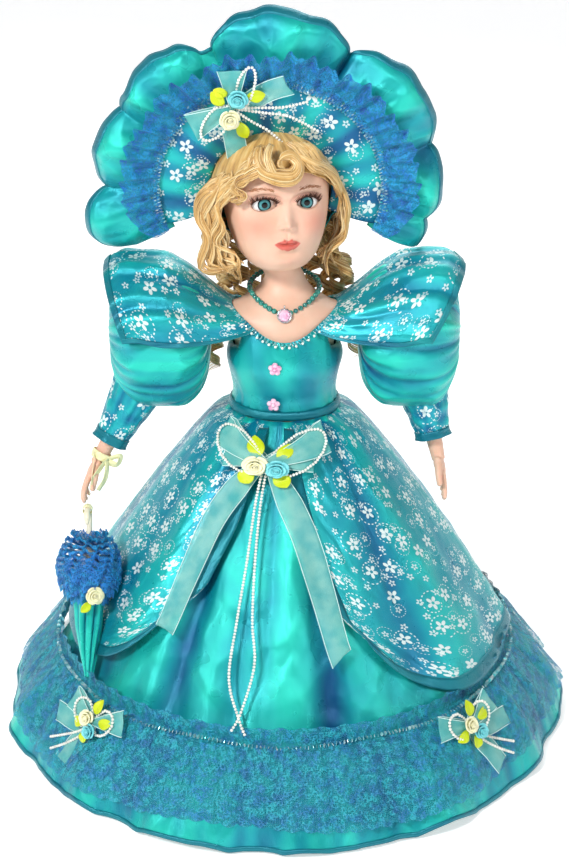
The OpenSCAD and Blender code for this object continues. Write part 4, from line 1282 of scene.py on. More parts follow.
# %% Cuffs
def cuff_grid(side):
    """The cuff from inside the puff down to the wrist, crumpled where it is narrow."""
    axes = arm_frame(side)
    s, turn = round_grid(46, 120)
    along = 0.04 + 0.84 * s
    bend = 0.5 * np.cos(turn * 2 + 1) * np.sin(s * 26 + 2 * np.sin(turn)) * ease((s - 0.35) / 0.3)
    gathers = 0.7 * np.cos(16 * turn + 2 * s) * (1 - s) ** 1.5 + 0.35 * np.cos(7 * turn - 4 * s)
    radius = np.interp(s, [0, 0.2, 0.55, 0.9, 0.97, 1.0],
                       [19, 18.2, 14.5, 11.0, 10.9, 11.3]) + bend + gathers
    centre = ELBOW + (WRIST[side] - ELBOW) * along[..., None]
    points = centre + radius[..., None] * (np.cos(turn)[..., None] * axes[0] + np.sin(turn)[..., None]
                                           * axes[1])
    points = points * [side, 1, 1] * MM
    # painted fold shade: lighter where the cuff stands out on its gathers, darker between them
    fold = np.clip(0.5 + 0.45 * gathers + 0.5 * bend, 0, 1)
    return (points[:, ::-1], fold[:, ::-1]) if side < 0 else (points, fold)


for side, word in SIDES:
    pts, fold = cuff_grid(side)
    cuff = grid_object("cuff_cloth_" + word, pts, PRINT, wrap=True, fold=fold, thick=SATIN_T)
    place(cuff, "arm_" + word, "satin_print", "cuff_" + word)
    rim = pts[-6:] + unit(pts[-6:] - pts[-6:].mean(axis=1, keepdims=True)) * 0.8 * MM
    hem_band = grid_object("cuff_binding_" + word, rim, BINDING, wrap=True, thick=SATIN_T)
    place(hem_band, "arm_" + word, "satin_teal")
    cloth(cuff, pts)
print("cuffs are sewn")

# %% [markdown]
# The wig is golden and curly. Hair is drawn as locks: a lock is a bundle of thin strands that
# share one path, each with a little offset of its own. Loose locks wave beside the face, one
# rolled curl lies on the forehead, and ringlets hang behind, wound round an axis.

# %% Hair finish and the strands of a lock
HAIR, t, shader = finish_material("Golden hair", Anisotropic=0.6, Specular_IOR_Level=0.7,
                                  Sheen_Weight=0.25, Sheen_Roughness=0.3)
own = t.attribute("fold")
streak = t.noise(130.0, 3.0)
shade = t.math("ADD", t.math("MULTIPLY", own, 0.75), t.math("MULTIPLY", streak, 0.35), clamp=True)
golden = t.mix(t.remap(shade, 0.1, 0.5), tint(150, 98, 44), tint(222, 178, 106))
golden = t.mix(t.remap(shade, 0.5, 1.0), golden, tint(255, 238, 188))
feed(t, shader, Base_Color=golden, Roughness=t.remap(streak, 0.2, 0.8, 0.24, 0.4))
HEAD_MID = Vector((0, 0, HEAD_Z))
hair_rng = np.random.default_rng(21)


def on_head(points):
    """Turns points given in mm about the head's centre, before its turn, into the frame."""
    return turned(np.asarray(points, float) * MM + np.array(HEAD_MID))


def lock(points, width, strands, wave=0.0, waves=2.0, thick=0.55, count=26, tight=0.5):
    """Strands along one path; the bundle is flat, wide in the middle and closes at its ends."""
    at = np.linspace(0, len(points) - 1, count)
    line = smooth_rows(np.asarray(points, float), at)
    s = np.linspace(0, 1, count)
    along = unit(np.gradient(line, axis=0))
    outward = unit(line * [1, 1, 0.35])
    across = unit(np.cross(along, outward))
    outward = np.cross(across, along)
    phase = hair_rng.random() * 6.28
    made, tones = [], []
    for k in range(strands):
        place_across = (k + 0.5) / strands - 0.5
        jitter = hair_rng.normal(0, 0.25)
        body = np.sin(np.clip(s * 1.15 + 0.08, 0, 1) * math.pi) ** tight
        side = (place_across * width * body)[:, None]
        rise = (math.cos(place_across * math.pi) * width * 0.24 * body + jitter * 0.8)[:, None]
        swing = (wave * np.sin(s * waves * TAU + phase + place_across * 1.2))[:, None]
        own_sway = 0.35 * np.sin(s * 9 + k * 1.7)[:, None]
        path = line + across * (side + swing + own_sway) + outward * (rise + 0.4 * swing)
        ends = np.clip(np.minimum(s * 14, (1 - s) * 5 + 0.15), 0.15, 1)
        made.append(sweep(on_head(path), thick * MM * ends, 4, flat=0.6))
        tones.append(np.clip(0.5 + hair_rng.normal(0, 0.22), 0, 1))
    return made, tones


def ringlet(top, bottom, radius, turns, strands, band):
    """A hanging sausage curl: a band of strands wound round a straight axis."""
    count = int(11 * turns)
    s = np.linspace(0, 1, count)
    axis = np.asarray(top, float) + (np.asarray(bottom, float) - np.asarray(top, float)) * s[:, None]
    phase = hair_rng.random() * 6.28
    spin = s * turns * TAU + phase
    made, tones = [], []
    for k in range(strands):
        shift = ((k + 0.5) / strands - 0.5) * band
        r = radius * (1 - 0.35 * s) * (1 + 0.05 * hair_rng.normal()) * np.clip(s * 5 + 0.35, 0, 1)
        path = axis + ring_points(r, spin, np.full(count, -shift))
        ends = np.clip(np.minimum(s * 10 + 0.3, (1 - s) * 6 + 0.12), 0.12, 1)
        made.append(sweep(on_head(path), 0.6 * MM * ends, 4, flat=0.7))
        tones.append(np.clip(0.45 + hair_rng.normal(0, 0.22), 0, 1))
    return made, tones


def hair_piece(name, locks, *nodes):
    tubes = [tube for made, _ in locks for tube in made]
    tones = [tone for _, found in locks for tone in found]
    piece = tubes_object(name, tubes, HAIR, tones)
    place(piece, "doll", "hair", *nodes)
    print(name, "has", len(tubes), "strands")
    return piece

# %% [markdown]
# A wig starts with a cap that the locks are sewn to. Here it is a combed dome that ends higher
# over the face than at the nape, and it fills the gaps between locks. The locks of the fringe
# and the waves beside the face could come from a hair system, but paths through a few given
# points were chosen, because each lock then lies where it is wanted.

# %% Wig cap, fringe and side waves
lat, lon = round_grid(70, 160)
WIG_R = (high("wig_cap").x - low("wig_cap").x) / 2 / MM
frontness = np.clip(-np.sin(lon), 0, 1)
cap_low = -17 + 38 * frontness ** 0.8
polar = np.arccos(np.clip(cap_low / WIG_R, -1, 1)) * lat
comb = 0.4 * np.cos(70 * lon + 5 * np.sin(lat * 5)) + 0.5 * np.cos(23 * lon)
cap_r = WIG_R - 1.6 + comb * lat
cap_pts = on_head(np.stack([cap_r * np.sin(polar) * np.cos(lon), cap_r * np.sin(polar) * np.sin(lon),
                            cap_r * np.cos(polar)], axis=-1))
# painted shade: the cap is darker in its comb grooves and lighter on the ridges, and darker overall than the
# locks
cap = grid_object("wig_cap_hair", cap_pts, HAIR, wrap=True, fold=np.clip(0.35 + 0.3 * comb, 0, 1),
                  thick=1.0 * MM)
place(cap, "doll", "hair", "wig_cap")

fringe = [lock([(-17, -28, 35), (-18, -34, 28), (-14, -38.5, 21), (-6, -41, 17.5), (2, -41, 19),
                (6, -38.5, 25), (3, -36, 30.5), (-3, -37.5, 29), (-6, -39.5, 25.5), (-3, -41, 23)],
               10.0, 38, thick=0.42, wave=0.9, waves=3, count=40),
          lock([(-8, -30, 36), (-13, -37, 29), (-10, -40, 21.5), (-3, -41.5, 19), (4, -40.5, 21)],
               6.0, 20, thick=0.5, wave=0.6)]
for k in range(6):
    f = k / 5
    fringe.append(lock([(-12 - 4 * f, -28, 35 - 2 * f), (-19 - 3 * f, -34 + 2 * f, 28 - 3 * f),
                        (-25 - 2 * f, -35 + 5 * f, 20 - 3 * f),
                        (-30 - 2 * f, -32 + 6 * f, 12 - 2 * f), (-27 - 4 * f, -35 + 7 * f, 6 - 2 * f),
                        (-31 - 3 * f, -33 + 8 * f, 1)],
                       4.5, 12, wave=1.8, waves=2.2, thick=0.45))
for k in range(7):
    f = k / 6
    fringe.append(lock([(2 + 12 * f, -27, 37 - 2 * f), (8 + 10 * f, -34 + 2 * f, 31),
                        (15 + 9 * f, -37 + 6 * f, 24 - 3 * f),
                        (22 + 8 * f, -35 + 8 * f, 19 - 4 * f), (30 + 6 * f, -28 + 7 * f, 13 - 5 * f)],
                       5.0, 14, wave=1.2, waves=1.5, thick=0.5))
for side, lift in ((1, 0.0), (-1, -1.5)):
    for k in range(9):
        f = k / 8
        sway = hair_rng.normal(0, 1.2, 6)
        fringe.append(lock([(side * (8 + 12 * f), -33 + 5 * f, 31 - 4 * f + lift),
                            (side * (17 + 9 * f), -37 + 8 * f + sway[0] * 0.4, 25.5 - 5 * f + lift),
                            (side * (26 + 6 * f), -33 + 8 * f + sway[1] * 0.5, 19 - 7 * f + lift),
                            (side * (34 + 3 * f), -26 + 6 * f, 11 - 9 * f + sway[2]),
                            (side * (38.5 + 2 * f + sway[3] * 0.5), -20 + 6 * f, 0 - 10 * f),
                            (side * (39 + sway[4]), -17 + 5 * f, -12 - 10 * f)],
                           5.5, 13, wave=1.6, waves=1.6, thick=0.58))
hair_piece("fringe_and_temples", fringe, "wig_curls")

sides = []
for side in (-1, 1):
    for k in range(15):
        f = k / 14
        out = 35.5 + 3.5 * hair_rng.random() + 2.0 * f
        depth = -20 + 34 * f + hair_rng.normal(0, 1)
        end = -44 - 14 * hair_rng.random() if side < 0 else -38 - 14 * hair_rng.random()
        inward = -5.5 if f < 0.5 else 0
        sides.append(lock([(side * (out - 4), depth, 12 - 6 * f), (side * (out + 2.0), depth - 1.5, -2),
                           (side * (out + 3.5), depth - 1, -15), (side * (out + 2.5), depth + 0.5, -27),
                           (side * (out - 1 + inward), depth + 1, -37),
                           (side * (out - 3 + inward * 1.3), depth - 2, end)],
                          6.5, 14, wave=2.6, waves=2.4, thick=0.6, count=24, tight=0.35))
for k in range(12):
    f = k / 11
    out = 37 + 15 * f + hair_rng.normal(0, 1)
    sides.append(lock([(-30 - 6 * f, -26 + 10 * f, 20 - 8 * f), (-out + 3, -22 + 6 * f, 6),
                       (-out, -17 + 4 * f, -12),
                       (-out + 2, -14, -26), (-out + 7 - 6 * f, -16, -38 - 6 * f),
                       (-out + 12, -20, -43 - 5 * f)],
                      6.5, 14, wave=2.8, waves=2.2, thick=0.55, count=24, tight=0.35))
hair_piece("side_waves", sides)

curls = []
for k, degrees in enumerate(np.linspace(8, 172, 13)):
    a = math.radians(degrees)
    reach = 41.5 + 1.5 * (k % 2)
    deep = abs(degrees - 90) < 64
    foot = -128 + 14 * hair_rng.random() if deep else -62
    lean = 1.12 if deep else 1.0
    top = (reach * math.cos(a) * 0.93, reach * math.sin(a) * 0.93 + 1, -12)
    end = (reach * math.cos(a) * lean, max(reach * math.sin(a) * lean, 0) + (12 if deep else 2), foot)
    curls.append(ringlet(top, end, 6.2 if deep else 5.2, 7.5 if deep else 3.8, 11, 7.5))
for side in (-1, 1):
    curls.append(ringlet((side * 34, 27, -20), (side * 50, 52, -138 + 6 * side), 6.2, 8.0, 12, 7.5))
hair_piece("long_ringlets", curls)

# %% [markdown]
# The hat is a big bonnet. Its brim stands up round the face like a halo and leans forward a
# little, so every hat piece is drawn in the brim's own plane: a distance from the middle, an
# angle, and a depth behind the plane. Printed satin lines the brim, then come gathered blue
# lace and a wide satin ruffle in soft lobes.

# %% The brim's plane
hat_way = Vector(JOINTS["hat_lift"]["axis"]).normalized()
HAT_BACK = np.array(hat_way)
HAT_UP = np.array([0, -hat_way.z, hat_way.y])
HAT_MID = np.array(HEAD_MID) + [-9 * MM, 0, 0]
BRIM_R = (high("hat_brim").x - low("hat_brim").x) / 2


def on_hat(radius, angle, depth):
    """A point of the hat from its polar place in the brim's plane, in metres."""
    radius, angle, depth = np.broadcast_arrays(radius, angle, depth)
    across = radius * np.cos(angle)
    up = radius * np.sin(angle)
    return HAT_MID + across[..., None] * [1, 0, 0] + up[..., None] * HAT_UP + depth[..., None] * HAT_BACK


def halo(r0, r1, depth, swell, ripple, seeds, rows=26, cols=320, droop=20, bulge=0.0, power=1.0):
    """A gathered band of the hat from radius r0 to r1, open below the face."""
    s, angle = np.meshgrid(np.linspace(0, 1, rows), np.radians(np.linspace(-droop, 180 + droop, cols)),
                           indexing="ij")
    wave = folds(angle, s, seeds)
    radius = r0 + (r1 - r0) * s + ripple * wave * s ** 1.4
    back = depth[0] + (depth[1] - depth[0]) * s - bulge * np.sin(s * math.pi) + swell * wave * s ** power
    points = on_hat(radius, angle, back)
    # painted fold shade: darker where the band lies further back, lighter where it comes forward
    return points[:, ::-1], np.clip(0.5 - wave[:, ::-1] * 0.55, 0, 1)

# %% [markdown]
# The hat is built in layers, as a milliner would build it: a printed lining on the brim,
# scalloped satin around it, a crown at the back and a ruffle of lace. It could be one thick
# shape with painted zones, but a grid for each layer was chosen, because the edges and the gaps
# between the layers then catch light as cloth does.

# %% Brim, crown, lace and ruffle
brim_pts, fold = halo(38.5 * MM, BRIM_R - 9 * MM, (0, 1.5 * MM), 0.8 * MM, 0.0,
                      [(19, 1.0, 0.3, 1.0), (7, 0.7, 1.0, 0.5)], bulge=3.5 * MM)
brim = grid_object("brim_lining", brim_pts, PRINT, fold=fold, thick=0.8 * MM)
place(brim, "hat", "satin_print", "hat_brim")
cloth(brim, brim_pts)

LOBES = [(194, 13, 123), (166, 17, 114), (135, 19, 112), (86, 25, 116), (36, 24, 115), (1, 15, 110),
         (-22, 12, 106)]
s, deg = np.meshgrid(np.linspace(0, 1, 41), np.linspace(-24, 205, 560), indexing="ij")
angle = np.radians(deg)
lobe, reach = np.zeros_like(deg), np.full_like(deg, 99.0)
for middle, half, far in LOBES:
    bump = np.clip(1 - ((deg - middle) / half) ** 2, 0, 1) ** 0.6
    lobe, reach = np.maximum(lobe, bump), np.maximum(reach, 99 + (far - 99) * bump)
crush = folds(angle, s, [(23, 1.0, 0.4, 2.0), (37, 0.6, 1.4, -3.5), (13, 0.8, 2.2, 1.2)])
slow = folds(angle, s, [(9, 1.0, 1.4, 3.0), (6, 0.8, 0.4, -3.0)])
r0 = BRIM_R - 16 * MM
radius = r0 + (reach * MM - r0) * s ** 0.92 + crush * 1.2 * MM * s
back = (5 * MM + 3 * MM * s - 9 * MM * np.sin(s * 2.4) * lobe
        + 8 * MM * np.clip((s - 0.8) / 0.2, 0, 1) ** 2 * lobe)
back = (back + 7 * MM * (1 - lobe) * s ** 1.3
        + crush * 3.0 * MM * s ** 0.5 * (1.1 - 0.6 * s) + slow * 4.4 * MM * s)
dent = crumple(angle * 95 * MM, radius, 13 * MM, 17)
back = back - dent * 4.0 * MM * np.clip(s * 2.5, 0, 1)
ruffle_pts = on_hat(radius, angle, back)[:, ::-1]
# painted fold shade: lighter where the ruffle comes forward on its lobes and dents, darker where it folds back
fold = np.clip(0.38 + 0.2 * (lobe - 0.6) - crush * 0.2 - slow * 0.2 + dent * 0.4, 0, 1)[:, ::-1]
ruffle = grid_object("hat_ruffle_cloth", ruffle_pts, SATIN_SOFT, fold=fold, thick=SATIN_T)
place(ruffle, "hat", "satin_teal", "hat_ruffle")
hat_edge = join_grids("hat_ruffle_edge", [ruffle_pts[-4:]], BINDING, thick=1.3 * MM)
place(hat_edge, "hat", "satin_teal")
cloth(ruffle, ruffle_pts)

frill_pts, fold = halo(BRIM_R - 14 * MM, BRIM_R + 10 * MM, (-2.9 * MM, -12.6 * MM), 3.6 * MM, 3.4 * MM,
                       [(47, 1.0, 0.3, 1.5), (79, 0.6, 1.0, -2.0), (13, 0.8, 0.9, 0.3)], rows=24,
                       cols=1100, droop=23,
                       power=0.7)
deg = np.linspace(-23, 203, 1100)[::-1]
taper = np.clip(np.minimum(deg + 23, 203 - deg) / 26, 0.0, 1)[None, :, None] ** 0.5
frill_pts = frill_pts[:1] + (frill_pts - frill_pts[:1]) * (0.35 + 0.65 * taper)
frill = grid_object("hat_lace_cloth", frill_pts, LACE_BLUE, fold=fold)
place(frill, "hat", "lace_blue", "hat_lace")
cloth(frill, frill_pts)

tip, around = round_grid(40, 192)
puffing = folds(around, tip, [(21, 1.0, 0.4, 1.0), (33, 0.5, 0.9, -2.0)])
swell_r = (42.2 * MM + puffing * 1.1 * MM * np.sin(tip * math.pi / 2) * (tip > 0)
           + 2.0 * MM * np.sin(tip * math.pi))
angle_from_back = tip * math.radians(88)
crown_pts = (np.array(HEAD_MID) + [-7 * MM, 0, 0]
             + (swell_r * np.cos(angle_from_back))[..., None] * HAT_BACK
             + (swell_r * np.sin(angle_from_back) * np.cos(around))[..., None] * [1, 0, 0]
             + (swell_r * np.sin(angle_from_back) * np.sin(around))[..., None] * HAT_UP)
# painted fold shade: lighter on the puffed crests of the crown, darker between them
crown = grid_object("hat_crown_cloth", crown_pts, SATIN, wrap=True, fold=np.clip(0.5 + puffing * 0.5, 0, 1),
                    thick=0.7 * MM)
place(crown, "hat", "satin_teal", "hat_crown")
cloth(crown, crown_pts)
print_cut("hat ruffle", ruffle_pts)

# %% [markdown]
# Pearls, beads and sequins repeat along a thread, which is what Geometry Nodes do well. One
# tree takes threads as curves, sets points on them at an even spacing, puts a small faceted
# ball or a thin disc on each, with a fixed seed for small differences in size and turn, and
# makes them real. The result becomes a plain mesh.

# %% Geometry Nodes: beads on threads
def bead_tree(flat):
    tree = bpy.data.node_groups.new("Beads on threads" if not flat else "Sequins on threads",
                                    "GeometryNodeTree")
    tree.interface.new_socket("Threads", in_out="INPUT", socket_type="NodeSocketGeometry")
    for name, default in (("Spacing", 0.0025), ("Radius", 0.0012), ("Uneven", 0.05)):
        socket = tree.interface.new_socket(name, in_out="INPUT", socket_type="NodeSocketFloat")
        socket.default_value = default
    tree.interface.new_socket("Finish", in_out="INPUT", socket_type="NodeSocketMaterial")
    tree.interface.new_socket("Beads", in_out="OUTPUT", socket_type="NodeSocketGeometry")
    add, link = tree.nodes.new, tree.links.new
    start, end = add("NodeGroupInput"), add("NodeGroupOutput")
    points = add("GeometryNodeCurveToPoints")
    points.mode = "LENGTH"
    if flat:
        bead = add("GeometryNodeMeshCylinder")
        bead.inputs["Vertices"].default_value = 8
        bead.inputs["Depth"].default_value = 0.00025
    else:
        bead = add("GeometryNodeMeshIcoSphere")
        bead.inputs["Subdivisions"].default_value = 2
    turn, size = add("FunctionNodeRandomValue"), add("FunctionNodeRandomValue")
    turn.data_type, size.data_type = "FLOAT_VECTOR", "FLOAT"
    wobble = 0.45 if flat else 3.14
    turn.inputs["Min"].default_value = (-wobble, -wobble, -wobble)
    turn.inputs["Max"].default_value = (wobble, wobble, wobble)
    turn.inputs["Seed"].default_value, size.inputs["Seed"].default_value = 5, 9
    lower, upper = add("ShaderNodeMath"), add("ShaderNodeMath")
    lower.operation, upper.operation = "SUBTRACT", "ADD"
    lower.inputs[0].default_value = upper.inputs[0].default_value = 1.0
    link(start.outputs["Uneven"], lower.inputs[1])
    link(start.outputs["Uneven"], upper.inputs[1])
    link(lower.outputs[0], size.inputs[2])
    link(upper.outputs[0], size.inputs[3])
    rotate = add("FunctionNodeRotateEuler")
    rotate.space = "LOCAL"
    spread, smooth = add("GeometryNodeInstanceOnPoints"), add("GeometryNodeSetShadeSmooth")
    real, paint = add("GeometryNodeRealizeInstances"), add("GeometryNodeSetMaterial")
    smooth.inputs["Shade Smooth"].default_value = not flat
    link(start.outputs["Threads"], points.inputs[0])
    link(start.outputs["Spacing"], points.inputs["Length"])
    link(start.outputs["Radius"], bead.inputs["Radius"])
    link(points.outputs["Points"], spread.inputs["Points"])
    link(points.outputs["Rotation"], rotate.inputs[0])
    link(turn.outputs[0], rotate.inputs[1])
    link(rotate.outputs[0], spread.inputs["Rotation"])
    link(size.outputs[1], spread.inputs["Scale"])
    link(bead.outputs["Mesh"], spread.inputs["Instance"])
    link(spread.outputs["Instances"], real.inputs[0])
    link(real.outputs[0], smooth.inputs[0])
    link(smooth.outputs[0], paint.inputs[0])
    link(start.outputs["Finish"], paint.inputs["Material"])
    link(paint.outputs[0], end.inputs[0])
    return tree


BEADS, SEQUINS = bead_tree(False), bead_tree(True)


def threaded(name, threads, spacing, radius, finish, body, slot, nodes=(), flat=False, uneven=0.05):
    """Beads or sequins on threads given as lists of points in metres."""
    curve = bpy.data.curves.new(name, "CURVE")
    curve.dimensions = "3D"
    curve.twist_mode = "Z_UP"
    for thread in threads:
        spline = curve.splines.new("POLY")
        spline.points.add(len(thread) - 1)
        flat_list = np.concatenate([np.asarray(thread), np.ones((len(thread), 1))], axis=1)
        spline.points.foreach_set("co", flat_list.ravel())
    holder = bpy.data.objects.new(name + "_threads", curve)
    into_scene(holder)
    tree = SEQUINS if flat else BEADS
    made = holder.modifiers.new("Beads", "NODES")
    made.node_group = tree
    ids = {item.name: item.identifier for item in tree.interface.items_tree if item.in_out == "INPUT"}
    made[ids["Spacing"]], made[ids["Radius"]], made[ids["Uneven"]] = spacing, radius, uneven
    made[ids["Finish"]] = finish
    mesh = finished_mesh(holder)
    bpy.data.objects.remove(holder)
    piece = into_scene(bpy.data.objects.new(name, mesh))
    place(piece, body, slot, *nodes)
    print(name, "has", len(mesh.polygons), "faces")
    return piece


def gem_finish(name, light, dark, rough=0.12, coat=0.8, **more):
    mat, t, shader = finish_material(name, Coat_Weight=coat, Coat_Roughness=0.05, Specular_IOR_Level=0.7,
                                     **more)
    point = t.solid_space()
    cell = t.add("TexVoronoi", {"Vector": point, "Scale": 420.0}).outputs["Distance"]
    cloudy = t.noise(300.0)
    feed(t, shader, Base_Color=t.mix(t.remap(cloudy, 0.35, 0.65), tint(*dark), tint(*light)),
         Roughness=t.remap(cell, 0.0, 0.6, rough, rough + 0.12))
    return mat


PEARL = gem_finish("Pearl", (252, 250, 240), (226, 224, 214), 0.18, 0.6, Sheen_Weight=0.3)
BEAD = gem_finish("Teal glass bead", (30, 160, 140), (0, 84, 88), 0.08, 1.0)
# the sequins' white is partly their silver face and partly painted glints, spread by noise
SEQUIN = gem_finish("Teal sequin", (236, 252, 250), (70, 200, 206), 0.12, 1.0, Metallic=0.55)
CRYSTAL = gem_finish("Pink crystal", (250, 214, 232), (224, 150, 190), 0.05, 1.0)
SILVER = gem_finish("Silver setting", (226, 228, 230), (176, 180, 184), 0.2, 0.3, Metallic=1.0)

# %% [markdown]
# The same parts are sewn together at four places: a bow of wired organza ribbon, loops and
# strands of pearls, two ribbon roses and four leaves. Each spot has its own flat frame: right,
# up and out from the cloth. A rule draws the parts in that frame, in millimetres.

# %% Ribbon loops, tails, roses and leaves
class Spot:
    """A flat frame on the cloth: millimetres right, up and out become a place on the doll."""

    def __init__(self, origin, right, out):
        self.out = unit(np.asarray(out, float))
        right = np.asarray(right, float)
        self.right = unit(right - self.out * np.dot(right, self.out))
        self.up = np.cross(self.out, self.right)
        self.origin = np.asarray(origin, float)

    def __call__(self, points):
        points = np.asarray(points, float)
        return (self.origin + points[..., 0:1] * MM * self.right + points[..., 1:2] * MM * self.up
                + points[..., 2:3] * MM * self.out)


def ribbon(path, width, normal=(0, 0, 1), ripple=0.6, rows=48, tip=0.0):
    """A ribbon of even width along a path, in a spot's millimetres; tip cuts its end aslant."""
    at = np.linspace(0, len(path) - 1, rows)
    line = smooth_rows(np.asarray(path, float), at)
    along = unit(np.gradient(line, axis=0))
    across = unit(np.cross(along, np.broadcast_to(np.asarray(normal, float), line.shape)))
    side = np.linspace(-0.5, 0.5, 9)
    wide = np.broadcast_to(np.asarray(width, float), (rows,)) if np.ndim(width) == 0 else np.interp(
        np.linspace(0, 1, rows), np.linspace(0, 1, len(width)), width)
    points = line[:, None, :] + across[:, None, :] * (side[None, :, None] * wide[:, None, None])
    wave = ripple * np.sin(np.linspace(0, 9, rows))[:, None] * np.cos(side * 7)[None, :]
    points = points + np.asarray(normal, float) * wave[..., None]
    if tip:
        points[-1] += along[-1] * (side[:, None] * tip)
    return points


def loop_path(reach, tall, lift, lean=0.0):
    """The path of one ribbon loop to the right: out along its lower side and back on top."""
    a = np.linspace(-0.96, 0.96, 15) * math.pi
    x = reach * (0.52 + 0.5 * np.cos(a)) - 0.03 * reach
    y = tall * np.sin(a) * np.clip((1.05 - np.abs(a) / math.pi) * 2.2, 0.15, 1) + lean * x
    z = lift + 1.6 * np.cos(a)
    return np.stack([x, y, z], axis=-1)


def rose(radius, height, seed=1):
    """Cupped petals round a wound heart, as grids about +out, in millimetres."""
    r = np.random.default_rng(seed)
    grids = []
    for count, start, reach, foot, top, curl in ((6, 0.42, 1.0, 0.0, 0.5, 0.9),
                                                 (5, 0.32, 0.78, 0.05, 0.78, 0.6),
                                                 (4, 0.2, 0.52, 0.15, 0.95, 0.3)):
        for k in range(count):
            u, v = np.meshgrid(np.linspace(-1, 1, 9), np.linspace(0, 1, 8))
            a = TAU * (k + 0.5
                       * (count % 2)) / count + r.normal(0, 0.08) + u * 4.0 / count * (0.7 + 0.3 * np.sin(v * 3))
            reached = radius * (start + (reach - start) * v ** 1.4 * (1 - 0.10 * u ** 2))
            z = height * (foot + (top - foot) * np.sin(np.clip(v * (1.35 + curl * 0.5), 0,
                                                               2.6))) - 0.35 * u ** 2
            grids.append(ring_points(reached, a, z))
    s, v = np.meshgrid(np.linspace(0, 1, 60), np.linspace(0, 1, 6), indexing="ij")
    a, coil = s * 2.3 * TAU, radius * (0.03 + 0.27 * s)
    grids.append(ring_points(coil, a, height * (0.3 + 0.75 * v * (1 - 0.12 * s))))
    return grids


def leaf(length, width):
    """A folded ribbon leaf along +right, pointed at both ends and creased in the middle."""
    s, v = np.meshgrid(np.linspace(0, 1, 15), np.linspace(-1, 1, 9), indexing="ij")
    half = width / 2 * np.sin(np.clip(s * 0.95 + 0.05, 0, 1) * math.pi) ** 0.75
    return np.stack([s * length, v * half,
                     0.9 + np.abs(v) * 0.9 * np.sin(s * math.pi) + 1.4 * np.sin(s * 2.4)],
                    axis=-1)


def moved(points, x, y, z, degrees=0.0, tilt=0.0):
    """Turns points about +out and tips them, then moves them, in a spot's millimetres."""
    a, b = math.radians(degrees), math.radians(tilt)
    spin = np.array([[math.cos(a), math.sin(a), 0], [-math.sin(a), math.cos(a), 0], [0, 0, 1]])
    tip = np.array([[math.cos(b), 0, math.sin(b)], [0, 1, 0], [-math.sin(b), 0, math.cos(b)]])
    return points @ tip @ spin + [x, y, z]


TEAL_ROSE = satin("Teal ribbon rose", crest_highlight=tint(130, 226, 232), middle=tint(70, 196, 212),
                  valley_shade=tint(20, 140, 170), crumple=0.2, metal=0.05)
LEAF = satin("Yellow-green leaf", crest_highlight=tint(232, 240, 30), middle=tint(200, 220, 0),
             valley_shade=tint(130, 170, 0), crumple=0.2, metal=0.05)


def wire_edges(points):
    """Fine white wires along both sides of a ribbon."""
    return [sweep(points[:, k], 0.28 * MM, 5) for k in (0, -1)]


WIRE, t, shader = finish_material("White ribbon wire", Sheen_Weight=0.3)
tiny = t.noise(900.0)
feed(t, shader, Base_Color=t.mix(tiny, tint(176, 232, 226), tint(236, 250, 246)),
     Roughness=t.remap(tiny, 0.3, 0.7, 0.45, 0.6))


def bow_loop(reach, width, lean, lift=2.0, fat=3.2, rows=56, cols=9):
    """One loop of a wired bow: out along the cloth and back on top, its broad side in view."""
    s, v = np.meshgrid(np.linspace(0, 1, rows), np.linspace(-0.5, 0.5, cols), indexing="ij")
    x = reach * np.sin(s * math.pi) ** 0.75
    wide = width * (0.22 + 0.78 * np.sin(s * math.pi) ** 0.7)
    z = lift + fat * (0.5 - 0.5 * np.cos(s * TAU)) * 0.4 + fat * s * 1.4 + 0.5 * np.cos(v * 9 + s * 7)
    a = math.radians(lean)
    y = v * wide + 1.4 * np.sin(s * math.pi) * np.sin(v * 5)
    return np.stack([x * math.cos(a) - y * math.sin(a), x * math.sin(a) + y * math.cos(a), z], axis=-1)


def trimming(name, spot, body, nodes, loops, tails, pearl_threads, roses, leaves, ribbon_w=13.0):
    """Makes one bow with its pearls, roses and leaves at a spot."""
    strips = [spot(bow_loop(*shape)) for shape in loops]
    strips += [spot(ribbon(path, [ribbon_w * 0.3, ribbon_w * 0.85, ribbon_w, ribbon_w, ribbon_w], rows=60,
                           tip=ribbon_w * 0.35, ripple=0.5)) for path in tails]
    bow = join_grids(name + "_organza", strips, ORGANZA, thick=0.25 * MM)
    place(bow, body, "organza", nodes[0])
    wires = tubes_object(name + "_wires", [w for strip in strips for w in wire_edges(strip)], WIRE)
    place(wires, body, "ribbon_cream")
    threaded(name + "_pearls", [spot(p) for p in pearl_threads], 2.05 * MM, 1.0 * MM, PEARL, body,
             "pearl", [nodes[1]])
    for kind, finish, slot in (("cream", CREAM_SATIN, "ribbon_cream"),
                               ("teal", TEAL_ROSE, "flower_ribbon")):
        # painted light: each petal is lighter the higher it stands out from the cloth
        mine = [(spot(moved(petal, x, y, z, 40 * i, tilt)), np.clip(0.5 + 0.12 * petal[..., 2], 0, 1))
                for i, (tone, r, h, x, y, z, tilt) in enumerate(roses) if tone == kind
                for petal in rose(r, h, seed=i + 3)]
        if mine:
            piece = join_grids(name + "_rose_" + kind, mine, finish, thick=RIBBON_T)
            place(piece, body, slot, *(nodes[2:] if kind == "cream" else ()))
    green = [spot(moved(leaf(length, wide), x, y, z, degrees, -12)) for length, wide, x, y, z,
             degrees in leaves]
    greens = join_grids(name + "_leaves", green, LEAF, thick=0.35 * MM)
    place(greens, body, "flower_ribbon")
    cloth(bow, strips)

# %% [markdown]
# The bow at the waist has loops and tails of ribbon, threads of pearls, roses and leaves. Each
# is written as a short path in millimetres, and a spot on the gown turns that path into place:
# across, up, and out from the surface. Paths and a spot were chosen over modelling in place,
# because the same few helpers then serve every bow on the doll.

